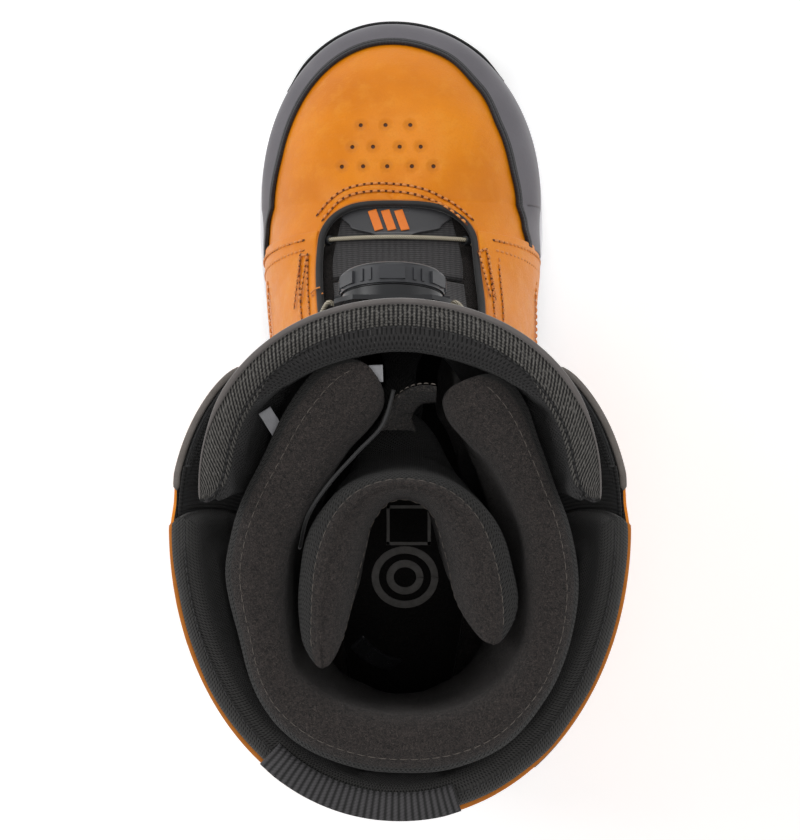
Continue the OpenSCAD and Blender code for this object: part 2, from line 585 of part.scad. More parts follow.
// Turns local Z to run from a to b, with its origin half-way
module between(a, b) {
    z = (b - a) / norm(b - a);
    across = cross([0, 0, 1], z);
    x = across / norm(across);
    y = cross(z, x);
    m = (a + b) / 2;
    multmatrix([[x[0], y[0], z[0], m[0]], [x[1], y[1], z[1], m[1]], [x[2], y[2], z[2], m[2]], [0, 0, 0, 1]])
        children();
}
module eyelet() {
    difference() {
        cylinder(h = 2.4, r = 1.75, center = true, $fn = 32);
        cylinder(h = 4, r = guide_bore + 0.25, center = true, $fn = 32);
    }
}
module guide_toe(side) color("dimgray") between(lower_path(side)[5], lower_path(side)[6]) eyelet();
module guide_ankle(side) {
    path = lower_path(side);
    color("dimgray") between(path[len(path) - 2], path[len(path) - 1]) eyelet();
}
module guide_flap(side) color("dimgray")
    on_skin(side, flap_guide_k, throat_u(flap_guide_k) + 1, 5.7) difference() {
        translate([-1, -6.5, 0]) cube([4, 13, 4]);
        translate([-2, -5, 0.6]) cube([8, 10, 2.5]);
    }

// ---- liner ----

// How far round the liner is tucked in behind the tongue
function tuck(u) = 1 - ease((u - 84) / 24);
// Depths of the liner cuff's outer and inner faces
function liner_out(k, u) = -mix(
    ramp([[3, 5.4], [7, 5.4], [9, 7], [10.6, 8.5], [12, 13.4], [12.8, 15.2], [14, 15.6]], k),
    ramp([[3, 8], [6, 8.6], [9, 14], [11, 20], [12, 30], [14, 32]], k) - 7 * (1 - ease((u - 35) / 45)) * ease((k - 10.5) / 1.5),
    tuck(u));
function liner_in(k, u) = liner_out(k, u) - mix(
    ramp([[3, 5], [7.5, 5.5], [9, 12], [10, 19], [11, 24], [12, 23], [13, 20], [14, 19]], k) * (0.65 + 0.35 * ease((u - 120) / 40)),
    ramp([[3, 4.5], [10, 9], [14, 10]], k), tuck(u));
liner_split = 3;
// One ring of the toe of the liner: y, and how far it stands inside the upper
function toe_ring(y, inset) =
    let(
        t = (y - pole[1]) / toe_length,
        share = pow(1 - pow(t, toe_outline_n), 1 / toe_outline_n),
        high = low_centre_z + (toe_height - low_centre_z) * pow(1 - pow(t, toe_profile_n), 1 / toe_profile_n)
            - toe_sag * sqrt(t) * (1 - t) - inset,
        low = floor_z + 2.8 + (inset - 5.4) + 12 * pow(t, 5), mid = mix(low, high, 0.35)
    )
    [for (v = [0 : 15 : 345])
        let(n = cos(v) < 0 ? 3.2 : 2.1, side = sin(v) < 0 ? -1 : 1,
            w = (side > 0 ? STATIONS[0][5] : STATIONS[0][4]) * share - inset - 0.4,
            lift = spow(cos(v), 2 / n))
        [pole[0] + side * w * pow(abs(sin(v)), 2 / n), y, mid + (lift < 0 ? mid - low : high - mid) * lift]];
function body_ring(k, d) =
    [for (v = [0 : 15 : 345]) let(u = v > 180 ? 360 - v : v)
        skin((v > 180 ? -1 : 1) * (k + 1), clamp(u, 0.01, 179.9), -d - 2.8 * (1 - ease((u - 36) / 26)))];
module liner_foot() {
    outer = concat([for (y = [137.5, 133, 125, 113, 99, 84]) toe_ring(y, y < 90 ? 7 : 5.6)],
        [for (k = [0.5 : 0.62 : liner_split]) body_ring(k, 5.4)]);
    inner = concat([for (k = [liner_split - 0.02 : -0.62 : 0.5]) body_ring(k, 10.4)],
        [for (y = [84, 99, 114, 124, 131]) toe_ring(y, y < 90 ? 12 : 10.6)]);
    color("dimgray") loft_tube(concat(outer, inner));
}
// Like loft, for loops that go forwards and back, with caps at the first and last loop
module loft_tube(loops) {
    n = len(loops[0]);
    last = len(loops) - 1;
    faces = concat(
        [for (i = [0 : last - 1]) for (j = [0 : n - 1]) let(m = (j + 1) % n)
            each [[i * n + j, i * n + m, (i + 1) * n + m], [i * n + j, (i + 1) * n + m, (i + 1) * n + j]]],
        [for (j = [0 : n - 1]) [(last + 1) * n, (j + 1) % n, j]],
        [for (j = [0 : n - 1]) [(last + 1) * n + 1, last * n + j, last * n + (j + 1) % n]]
    );
    polyhedron(concat([for (l = loops) each l], [mean(loops[0]), mean(loops[last])]), faces, convexity = 10);
}
// Angle of the liner cuff's front edge
function cuff_u(side, k) = ramp([[3, 30], [8, 32], [12, side > 0 ? 40 : 26], [14.4, side > 0 ? 36 : 20]], k);
liner_top = 13.7;
function cuff_at(k, b) = let(c = mix(-1, 1, b)) mix(180, cuff_u(c < 0 ? -1 : 1, k), abs(c));
// A point along a list of points, from its first (0) to its last (1)
function along(list, t) =
    let(last = len(list) - 1, x = clamp(t, 0, 1) * last, i = min(floor(x), last - 1))
    curve(list[max(i - 1, 0)], list[i], list[i + 1], list[min(i + 2, last)], x - i);
// Height of station k over y
function level_z(k, y) = let(s = station(k)) mix(s[3], s[1], (y - s[2]) / (s[0] - s[2]));
// The liner's points leave the shell's shape for a plan of their own towards the top
function to_plan(low, list, k, t, from, top) =
    let(p = along(list, t), x = p[0] * station(k)[5] / station(top)[5])
        mix(low, [x, p[1], level_z(k, p[1])], ease((k - from) / (top - from)));
// Plan of the cuff's top, outside and inside, from the medial end round the back to the lateral end
cuff_outer = [[-12, 13], [-21, 13], [-28, 9], [-36, -2], [-43, -16], [-50, -30], [-54.5, -44], [-56, -58], [-52, -76],
    [-45.5, -96], [-34, -109], [-18, -116.5], [0, -119.5], [18.5, -117.5], [35, -109.5], [47.5, -94.5], [54, -80],
    [57, -66], [57, -54], [54, -39], [49, -26], [44.5, -13], [40, -1.5], [33.5, 6.5], [25.5, 8.5]];
cuff_inner = [[-5, 5], [-4.5, -2], [-8, -8], [-15.5, -15.5], [-23.5, -26], [-30, -37], [-34.6, -47.5], [-36, -58], [-36, -71],
    [-33, -86], [-22, -95], [-11, -99], [0, -100], [12, -99.5], [23, -96], [34, -87.5], [39, -77], [40.5, -66], [40.2, -56],
    [38.8, -44], [34.5, -32], [28.5, -21.5], [21.5, -14], [15, -6], [12.6, 2.5]];
module liner_cuff() {
    na = 20;
    nb = 48;
    ks = [for (i = [0 : na]) mix(liner_split + 0.05, liner_top, i / na)];
    outer = [for (k = ks) for (j = [0 : nb]) let(b = j / nb, u = cuff_at(k, b))
        to_plan(skin((b < 0.5 ? -1 : 1) * (k + 1), u, liner_out(k, u)), cuff_outer, k, b, 9.5, liner_top)];
    inner = [for (k = ks) for (j = [0 : nb]) let(b = j / nb, u = cuff_at(k, b))
        to_plan(skin((b < 0.5 ? -1 : 1) * (k + 1), u, liner_in(k, u)), cuff_inner, k, b, 9.5, liner_top)];
    slim = [for (i = [0 : na]) for (j = [0 : nb]) i == na ? 0.18 : j == 0 || j == nb ? 0.1 : 0];
    color("dimgray") closed_plate([for (i = [0 : len(outer) - 1]) mix(outer[i], inner[i], slim[i])],
        [for (i = [0 : len(outer) - 1]) mix(inner[i], outer[i], slim[i])], na, nb);
}
// Depth of the liner tongue's outer face
function liner_tongue_out(k, c) =
    ramp([[3.6, -14.6], [6, -19], [9, -31], [12, -44], [14.5, -47]], k)
        + ramp([[9, 0], [14, 4]], k) * pow(abs(2 * c - 1), 2);
// Plan of the liner tongue's top, outside and inside, from the medial end to the lateral end
liner_tongue_outer = [[-29.5, -84.5], [-32.5, -77], [-33, -68], [-32.4, -56], [-30, -45], [-25.5, -35.5], [-18.5, -28],
    [-9.5, -23.6], [1, -22], [11.5, -23.6], [20.5, -28], [28, -35], [33, -43.5], [36.5, -54], [38, -63], [37.8, -70.5], [35.5, -77]];
liner_tongue_inner = [[-18, -85], [-16, -77], [-14.5, -66], [-13, -57], [-11.5, -49], [-9.5, -42], [-6.5, -36],
    [-3, -32.8], [1, -32], [5, -32.6], [9, -35], [12, -39.5], [14, -46], [15.2, -54], [16.3, -62], [18.3, -70], [21.5, -77.5]];
module liner_tongue() {
    na = 18;
    nb = 32;
    top = liner_top + 0.1;
    ks = [for (i = [0 : na]) mix(3.9, top, i / na)];
    function place(k, b) = over_front(b, k, ramp([[3.9, 22], [8, 40], [12, 104], [14, 122]], k));
    outer = [for (k = ks) for (j = [0 : nb]) let(b = j / nb, at = place(k, b))
        to_plan(skin(at[0], at[1], liner_tongue_out(k, b)), liner_tongue_outer, k, b, 9, top)];
    inner = [for (k = ks) for (j = [0 : nb]) let(b = j / nb, at = place(k, b))
        to_plan(skin(at[0], at[1], liner_tongue_out(k, b) - ramp([[3.9, 5], [9, 8], [12, 12], [14.4, 13]], k)),
            liner_tongue_inner, k, b, 9, top)];
    slim = [for (i = [0 : na]) for (j = [0 : nb]) i == na ? 0.18 : j == 0 || j == nb ? 0.1 : 0];
    color("dimgray") closed_plate([for (i = [0 : len(outer) - 1]) mix(outer[i], inner[i], slim[i])],
        [for (i = [0 : len(outer) - 1]) mix(inner[i], outer[i], slim[i])], na, nb);
}
module liner_strap() {
    path = [[11.5, 2, 287], [7, 2, 286], [3, 0, 284], [0, -4, 281], [-1, -9, 277]];
    width = [[0, 3, 12], [0, 4, 11], [-3, 5, 10], [-7, 4, 8], [-12, 0, 5]];
    smooth = through(path, 3);
    across = through(width, 3);
    n = len(smooth) - 1;
    front = [for (i = [0 : n]) each [smooth[i] + across[i] / 2 + [0, 0.8, 0], smooth[i] - across[i] / 2 + [0, 0.8, 0]]];
    back = [for (p = front) p - [0, 1.6, 0.6]];
    color("black") closed_plate(front, back, n, 1);
}
module liner_ribbon() {
    path = through([[-15, -82, 214], [-12, -86, 205], [-7, -90, 197], [-2, -92, 190]], 3);
    n = len(path) - 1;
    front = [for (i = [0 : n]) each [path[i] + [2, 2, 3], path[i] - [2, 2, 3]]];
    back = [for (p = front) p + [0.7, -0.9, 0]];
    color("black") closed_plate(front, back, n, 1);
}
module footbed() {
    color("dimgray") loft([for (l = [[40, -20], [41.4, -17.4], [43.4, -16.6]]) at_height(outline(46, l[1], -2.5), l[0], 0)]);
}

// ---- pull loop ----

module pull_loop() {
    // Across the webbing, over the collar's top: depth inside the shaft, and height
    across = [[-12.4, -0.4], [-10.5, 1], [-7, 1.8], [-3.6, 1.8], [-1, 0.6]];
    function edge(c, i, lift) =
        let(
            v = mix(-37, 15, c), q = (v < 0 ? -1 : 1) * (collar_top + 1),
            p = skin(q, 180 - max(abs(v), 0.01), 0), out = normal_at(q, 180 - max(abs(v), 0.01)),
            flat = [out[0], out[1], 0] / norm([out[0], out[1]])
        )
        p + across[i][0] * flat + [0, 0, across[i][1] + lift + 2.6];
    color("black") closed_plate(
        [for (c = [0 : 0.1 : 1.001]) for (i = [0 : 4]) edge(c, i, 1.5)],
        [for (c = [0 : 0.1 : 1.001]) for (i = [0 : 4]) edge(c, i, 0)], 10, 4);
}

outsole();
midsole();
toe_bumper();
lasting_board();
vamp();
toe_rand();
quarter(-1);  // quarter_medial
quarter(1);  // quarter_lateral
heel_panel();
heel_counter();
backstay();
shaft(-1);  // shaft_medial
shaft(1);  // shaft_lateral
collar_pad();
ankle_badge();
flap(-1);  // flap_medial
flap(1);  // flap_lateral
tongue_base();
tongue_badge();
tongue_body();
tongue_pad();
tongue_binding();
tongue_label();
dial_plate();
dial_base();
dial_spool();
dial_pawl_disc();
dial_screw();
dial_knob();
dial_grip();
lace_lower();
lace_medial();
lace_lateral();
guide_toe(-1);  // guide_toe_medial
guide_toe(1);  // guide_toe_lateral
guide_ankle(-1);  // guide_ankle_medial
guide_ankle(1);  // guide_ankle_lateral
guide_flap(-1);  // guide_flap_medial
guide_flap(1);  // guide_flap_lateral
liner_foot();
liner_cuff();
liner_tongue();
liner_strap();
liner_ribbon();
footbed();
pull_loop();
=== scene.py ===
"""Looks of the snowboard boot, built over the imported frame. Lengths are in millimetres until a mesh is made."""

import bpy
import numpy as np
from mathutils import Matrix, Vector


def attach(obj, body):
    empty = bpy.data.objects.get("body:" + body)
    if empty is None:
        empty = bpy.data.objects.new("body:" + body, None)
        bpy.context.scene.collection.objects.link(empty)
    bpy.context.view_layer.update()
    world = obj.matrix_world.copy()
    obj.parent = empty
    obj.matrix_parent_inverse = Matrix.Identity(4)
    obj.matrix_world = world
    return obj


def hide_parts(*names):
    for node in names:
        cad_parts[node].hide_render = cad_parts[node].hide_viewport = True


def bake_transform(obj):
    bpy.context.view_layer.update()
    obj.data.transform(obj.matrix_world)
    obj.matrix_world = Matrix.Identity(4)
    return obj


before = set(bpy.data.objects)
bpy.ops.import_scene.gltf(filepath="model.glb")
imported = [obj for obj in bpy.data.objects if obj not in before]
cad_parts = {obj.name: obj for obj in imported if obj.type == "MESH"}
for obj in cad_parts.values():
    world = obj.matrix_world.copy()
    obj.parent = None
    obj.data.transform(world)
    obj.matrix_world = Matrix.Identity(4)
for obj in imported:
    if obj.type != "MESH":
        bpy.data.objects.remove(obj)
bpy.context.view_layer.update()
MM = 0.001
STITCH_GAP, HOLE_AND_SHADE_R = 0.6, 0.6
CLOTH_QUALITY, CLOTH_MASS, CLOTH_PRESSURE = 5, 0.3, 4
EDGE_ROWS = 8  # rows that lines() adds to a plate for its rounded edges

# ---------------------------------------------------------------- the boot's surface, as in the CAD

POLE_X, POLE_Y = -3.0, 78.0
TOE_LENGTH, TOE_HEIGHT, FLOOR_Z, LEATHER = 71.5, 101.0, 28.0, 2.2
TOE_OUTLINE_N, TOE_PROFILE_N, TOE_SAG, LOW_Z = 2.1, 1.7, 9.0, 44.0
WALL_Z, OUTSOLE_H, TREAD_LEVEL, TOE_SPRING = 37.5, 7.0, 36.0, 6.0
STATIONS = np.array([
    [POLE_Y, TOE_HEIGHT, POLE_Y, FLOOR_Z, 49.5, 56.5, -3, 0.22, 2.1, 4.0],
    [66, 110, 58, FLOOR_Z, 50, 57.5, -3, 0.22, 2.1, 4.0],
    [54, 121, 30, FLOOR_Z, 49.5, 57.5, -3, 0.23, 2.1, 4.0],
    [44, 134, -8, FLOOR_Z, 48, 56, -2, 0.27, 2.1, 4.0],
    [36, 148, -50, FLOOR_Z, 45.5, 52, -1, 0.32, 2.1, 4.0],
    [31, 160, -95, FLOOR_Z, 44, 47, -0.5, 0.38, 2.1, 3.6],
    [28.5, 169, -134, 29.5, 44, 45, 0, 0.42, 2.1, 2.8],
    [27, 176, -150, 44, 45, 46, 0, 0.46, 2.1, 2.4],
    [26, 184, -151.5, 70, 46.5, 47.5, 0, 0.48, 2.1, 2.3],
    [27, 194, -148, 105, 49, 50, 0, 0.50, 2.1, 2.2],
    [30, 208, -142.5, 145, 54, 55, 0, 0.52, 2.1, 2.2],
    [33, 226, -138.5, 185, 61, 61.5, 0, 0.54, 2.1, 2.15],
    [34, 248, -136.5, 222, 68, 68, 0, 0.55, 2.15, 2.1],
    [33, 272, -136, 255, 73.5, 73.5, 0, 0.56, 2.2, 2.05],
    [31.5, 300, -137, 290, 77, 77, 0, 0.56, 2.2, 2.05],
    [31, 328, -138.5, 325, 80, 80, 0, 0.56, 2.2, 2.05],
])
LAST = len(STATIONS) - 1
VAMP_END, THROAT_K, SHAFT_TOP, COLLAR_TOP = 1.05, 1.2, 13.2, 13.38
TONGUE_SPLIT, TONGUE_TOP, HINGE_B, LINER_SPLIT = 2.3, 13.95, 0.26, 3.0


def spow(x, p):
    return np.sign(x) * np.abs(x) ** p


def mix(a, b, t):
    return a + (b - a) * t


def ease(t):
    t = np.clip(t, 0, 1)
    return t * t * (3 - 2 * t)


def ramp(table, x):
    xs = np.array([r[0] for r in table], float)
    vs = np.array([r[1] for r in table], float)
    x = np.asarray(x, float)
    i = np.clip(np.searchsorted(xs, x, side="right") - 1, 0, len(xs) - 2)
    return vs[i] + (vs[i + 1] - vs[i]) * ease((x - xs[i]) / (xs[i + 1] - xs[i]))


def curve(a, b, c, d, t):
    return 0.5 * (2 * b + (c - a) * t + (2 * a - 5 * b + 4 * c - d) * t**2 + (3 * b - a - 3 * c + d) * t**3)


def station(k):
    k = np.clip(k, 0, LAST)
    i = np.clip(np.floor(k), 0, LAST - 1).astype(int)
    t = (k - i)[..., None]
    s = STATIONS
    return curve(s[np.maximum(i - 1, 0)], s[i], s[i + 1], s[np.minimum(i + 2, LAST)], t)


def bare(q, u):
    q, u = np.broadcast_arrays(np.asarray(q, float), np.asarray(u, float))
    over = (u < 0) | (u > 180)
    q = np.where(over, -q, q)
    u = np.radians(np.where(u < 0, -u, np.where(u > 180, 360 - u, u)))
    side = np.where(q < 0, -1.0, 1.0)
    aq = np.abs(q)
    cu, su = np.cos(u), np.abs(np.sin(u))
    angle = np.radians(np.minimum(aq, 1) * 90)
    width = np.where(side > 0, STATIONS[0, 5], STATIONS[0, 4])
    reach = ((np.abs(np.sin(angle)) / width) ** TOE_OUTLINE_N
             + (np.abs(np.cos(angle)) / TOE_LENGTH) ** TOE_OUTLINE_N) ** (-1 / TOE_OUTLINE_N)
    part = ease(aq)
    low = cu < 0
    n = np.where(low, mix(3.2, STATIONS[0, 9], part), mix(TOE_PROFILE_N, STATIONS[0, 8], part))
    t = su ** (2 / n)
    lift = spow(cu, 2 / n)
    z = np.where(low, LOW_Z + (LOW_Z - FLOOR_Z) * lift,
                 LOW_Z + (TOE_HEIGHT - LOW_Z) * lift - TOE_SAG * np.cos(angle) ** 2 * np.sqrt(t) * (1 - t))
    toe = np.stack([POLE_X + side * np.sin(angle) * reach * t, POLE_Y + np.cos(angle) * reach * t, z], -1)
    s = station(np.maximum(aq - 1, 0))
    n = np.where(low, s[..., 9], s[..., 8])
    lift = spow(cu, 2 / n)
    front, back = s[..., 0:2], s[..., 2:4]
    centre = mix(back, front, s[..., 7:8])
    yz = np.where(lift[..., None] < 0, centre + (centre - back) * lift[..., None],
                  centre + (front - centre) * lift[..., None])
    width = np.where(side > 0, s[..., 5], s[..., 4])
    body = np.stack([s[..., 6] + side * width * su ** (2 / n), yz[..., 0], yz[..., 1]], -1)
    return np.where(aq[..., None] < 1, toe, body)


def unit(v):
    return v / np.maximum(np.linalg.norm(v, axis=-1, keepdims=True), 1e-9)


def normal(q, u):
    q, u = np.asarray(q, float), np.asarray(u, float)
    return unit(np.cross(bare(q + 0.03, u) - bare(q - 0.03, u), bare(q, u + 1.5) - bare(q, u - 1.5)))


def skin(q, u, d=0.0):
    return bare(q, u) + normal(q, u) * np.asarray(d, float)[..., None]


def angle_at_height(q, z):
    q = np.asarray(q, float)
    lo, hi = np.full(q.shape, 90.0), np.full(q.shape, 180.0)
    for _ in range(16):
        mid = (lo + hi) / 2
        above = bare(q, mid)[..., 2] > z
        lo, hi = np.where(above, mid, lo), np.where(above, hi, mid)
    return (lo + hi) / 2


def heel_q(z):
    lo, hi = 6.0, 9.0
    for _ in range(16):
        mid = (lo + hi) / 2
        if station(np.array(mid - 1.0))[3] > z:
            hi = mid
        else:
            lo = mid
    return (lo + hi) / 2


EDGE_Z = 33.0
EDGE_Q = heel_q(EDGE_Z)


def edge_u(q):
    return np.where(np.abs(q) >= EDGE_Q, 179.6, np.minimum(179.6, angle_at_height(q, EDGE_Z)))


def throat_u(k):
    full = 32 + 1.5 * np.asarray(k, float)
    arc = np.sqrt(np.clip(1 - (1 - np.maximum(k, 0) / THROAT_K) ** 2, 0, 1))
    return np.where(k >= THROAT_K, full, 0.4 + (full - 0.4) * arc)


def round_u(k, b):
    return mix(throat_u(k), edge_u(np.asarray(k, float) + 1), b)


def ankle_k(b):
    return mix(6.2, 10.1, np.asarray(b, float) ** 0.8)


def over_front(c, k, half):
    v = mix(-half, half, c)
    return np.where(v < 0, -1.0, 1.0) * (k + 1), np.maximum(np.abs(v), 0.01)


def over_back(c, k, half):
    v = mix(-half, half, c)
    return np.where(v < 0, -1.0, 1.0) * (k + 1), 180 - np.abs(v)


# ---------------------------------------------------------------- meshes


def add_object(name, verts, quads, uv, mat):
    """A smooth mesh object from vertices in mm, four-cornered faces and one UV in mm for each vertex."""
    mesh = bpy.data.meshes.new(name)
    quads = np.asarray(quads, np.int32).reshape(-1, 4)
    mesh.vertices.add(len(verts))
    mesh.vertices.foreach_set("co", (np.asarray(verts, np.float32) * MM).ravel())
    mesh.loops.add(quads.size)
    mesh.loops.foreach_set("vertex_index", quads.ravel())
    mesh.polygons.add(len(quads))
    mesh.polygons.foreach_set("loop_start", np.arange(0, quads.size, 4, dtype=np.int32))
    mesh.polygons.foreach_set("loop_total", np.full(len(quads), 4, np.int32))
    mesh.update(calc_edges=True)
    layer = mesh.uv_layers.new(name="UVMap")
    layer.data.foreach_set("uv", np.asarray(uv, np.float32)[quads.ravel()].ravel())
    mesh.validate()
    mesh.polygons.foreach_set("use_smooth", [True] * len(mesh.polygons))
    obj = bpy.data.objects.new(name, mesh)
    bpy.context.scene.collection.objects.link(obj)
    mesh.materials.append(mat)
    return obj


def finish_piece(obj, body="boot", replaces=(), blend=None, slot=None):
    """Attaches a piece to the body it moves with, or bakes its placement into its mesh when a blend is given, and
    hides the CAD nodes it stands for. The colour slot is not used.
    """
    if blend:
        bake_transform(obj)
    else:
        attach(obj, body)
    if replaces:
        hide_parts(*replaces)
    return obj


def lattice(na, nb, offset=0, flip=False):
    i, j = np.meshgrid(np.arange(na), np.arange(nb), indexing="ij")
    a = i * (nb + 1) + j + offset
    quads = np.stack([a, a + 1, a + nb + 2, a + nb + 1], -1).reshape(-1, 4)
    return quads[:, ::-1] if flip else quads


def shell(name, outer, inner, mat):
    """A closed plate between two grids of points."""
    na, nb = outer.shape[0] - 1, outer.shape[1] - 1
    count = (na + 1) * (nb + 1)
    m, n = na // 2, nb // 2
    corner = outer[m, n]
    turn = np.dot(np.cross(outer[m + 1, n] - corner, outer[m, n + 1] - corner), corner - inner[m, n]) > 0
    top = lattice(na, nb, 0, flip=turn)
    under = lattice(na, nb, count, flip=not turn)

    def strip(ids, other):
        quads = np.stack([ids[:-1], ids[1:], ids[1:] + count, ids[:-1] + count], -1)
        return quads[:, ::-1] if other else quads

    grid = np.arange(count).reshape(na + 1, nb + 1)
    walls = [strip(grid[0], not turn), strip(grid[-1], turn), strip(grid[:, 0], turn), strip(grid[:, -1], not turn)]
    verts = np.concatenate([outer.reshape(-1, 3), inner.reshape(-1, 3)])
    uvs = np.concatenate([lay_flat(outer).reshape(-1, 2)] * 2)
    return add_object(name, verts, np.concatenate([top, under] + walls), uvs, mat)


def lay_flat(grid):
    """Arc lengths over a grid, in mm: across from its middle line, and along from its first line."""
    across = np.linalg.norm(np.diff(grid, axis=1), axis=-1)
    along = np.linalg.norm(np.diff(grid, axis=0), axis=-1).mean(1)
    x = np.concatenate([np.zeros((grid.shape[0], 1)), np.cumsum(across, 1)], 1)
    x = x - x[:, -1:] / 2
    y = np.concatenate([[0], np.cumsum(along)])[:, None] * np.ones((1, grid.shape[1]))
    return np.stack([x, y], -1)


def lines(n, length, r):
    """Places of the grid lines, closer together near both edges where the plate is rounded."""
    e = np.array([0, 0.07, 0.28, 0.6]) * min(r / length, 0.3)
    return np.unique(np.concatenate([e, np.linspace(min(r / length, 0.3), 1 - min(r / length, 0.3), n + 1), 1 - e]))


def turning(loop):
    """Twice the area of a closed outline: above zero where it runs anticlockwise."""
    return np.sum(loop[:-1, 0] * loop[1:, 1] - loop[1:, 0] * loop[:-1, 1])


def path_length(points):
    return float(np.linalg.norm(np.diff(points, axis=0), axis=-1).sum())


def plate_points(at, lo, hi, na, nb, r, bulge):
    """A plate's outer and inner faces over the surface: `at` gives (q, u), lo and hi are depths or functions."""
    line = np.linspace(0, 1, 25)
    half = np.full(25, 0.5)
    la = max(path_length(bare(*at(line, half))), 2.0)
    lb = max(path_length(bare(*at(half, line))), 2.0)
    a, b = np.meshgrid(lines(na, la, r), lines(nb, lb, r), indexing="ij")
    q, u = at(a, b)
    edge = np.minimum(np.minimum(a, 1 - a) * la, np.minimum(b, 1 - b) * lb) / r
    f = 0.1 + 0.9 * np.sqrt(1 - (1 - np.clip(edge, 0, 1)) ** 2)
    low, high = [np.broadcast_to(depth(a, b) if callable(depth) else depth, a.shape) for depth in (lo, hi)]
    mid, half = (low + high) / 2, (high - low) / 2
    p, n = bare(q, u), normal(q, u)
    extra = bulge(a, b, p) if bulge else 0
    outer = p + n * (mid + half * f + extra * f)[..., None]
    inner = p + n * (mid - half * f)[..., None]
    return outer, inner, a, b


def plate(name, at, lo, hi, na, nb, mat, r=1.0, bulge=None, soft=0, **finish):
    outer, inner, a, b = plate_points(at, lo, hi, na, nb, r, bulge)
    if soft:
        outer, inner = inflate(outer, inner, a, b, soft)
    return finish_piece(shell(name, outer, inner, mat), **finish)


def through(points, steps):
    p = np.asarray(points, float)
    last = len(p) - 1
    out = []
    for i in range(last):
        for s in range(steps):
            out.append(curve(p[max(i - 1, 0)], p[i], p[i + 1], p[min(i + 2, last)], s / steps))
    out.append(p[last])
    return np.array(out)


def frames_along(path, up=None):
    """Tangent, and two directions across, at each point of a path."""
    t = np.gradient(path, axis=0)
    t = unit(t)
    if up is None:
        ups = []
        seed = np.array([0, 0, 1.0]) if abs(t[0][2]) < 0.8 else np.array([0, 1.0, 0])
        for k in range(len(path)):
            seed = seed - np.dot(seed, t[k]) * t[k]
            seed = seed / np.linalg.norm(seed)
            ups.append(seed)
        up = np.array(ups)
    up = unit(up - (up * t).sum(-1, keepdims=True) * t)
    return t, up, unit(np.cross(t, up))


def sweep(name, path, profile, mat, up=None, taper=0.0, scale=None, **finish):
    """A closed profile [(across, up), ...] in mm along a path."""
    path = np.asarray(path, float)
    profile = np.asarray(profile, float)
    _, ups, across = frames_along(path, up)
    length = np.concatenate([[0], np.cumsum(np.linalg.norm(np.diff(path, axis=0), axis=-1))])
    size = np.ones(len(path))
    if taper:
        end = np.minimum(length, length[-1] - length) / taper
        size = 0.08 + 0.92 * np.sqrt(1 - (1 - np.clip(end, 0, 1)) ** 2)
    if scale is not None:
        size = size * scale
    loop = np.concatenate([profile, profile[:1]])
    rings = (path[:, None] + across[:, None] * loop[None, :, :1] * size[:, None, None]
             + ups[:, None] * loop[None, :, 1:] * size[:, None, None])
    girth = np.concatenate([[0], np.cumsum(np.linalg.norm(np.diff(loop, axis=0), axis=-1))])
    uv = np.stack(np.broadcast_arrays(length[:, None], girth[None, :]), -1)
    na, nb = rings.shape[0] - 1, rings.shape[1] - 1
    area = turning(loop)
    quads = lattice(na, nb, flip=area > 0)
    centre = rings[:, :-1].mean(1)
    caps = []
    verts = [rings.reshape(-1, 3)]
    uvs = [uv.reshape(-1, 2)]
    base = rings.shape[0] * rings.shape[1]
    for row, other in ((0, area > 0), (na, area <= 0)):
        small = centre[row] + (rings[row] - centre[row]) * 0.02
        ids = np.arange(nb + 1) + row * (nb + 1)
        tip = np.arange(nb + 1) + base
        quad = np.stack([ids[:-1], ids[1:], tip[1:], tip[:-1]], -1)
        caps.append(quad if other else quad[:, ::-1])
        verts.append(small)
        uvs.append(uv[row])
        base += nb + 1
    obj = add_object(name, np.concatenate(verts), np.concatenate([quads] + caps), np.concatenate(uvs), mat)
    return finish_piece(obj, **finish)


def oval(w, h, n=14, power=2.0):
    t = np.linspace(0, 2 * np.pi, n, endpoint=False)
    return np.stack([w * spow(np.cos(t), 2 / power), h * spow(np.sin(t), 2 / power)], -1)


def resample(path, step, *extra):
    seg = np.concatenate([[0], np.cumsum(np.linalg.norm(np.diff(path, axis=0), axis=-1))])
    count = max(int(seg[-1] / step), 1)
    at = np.linspace(0, seg[-1], count + 1)
    return [np.stack([np.interp(at, seg, arr[:, k]) for k in range(3)], -1) for arr in (path,) + extra]


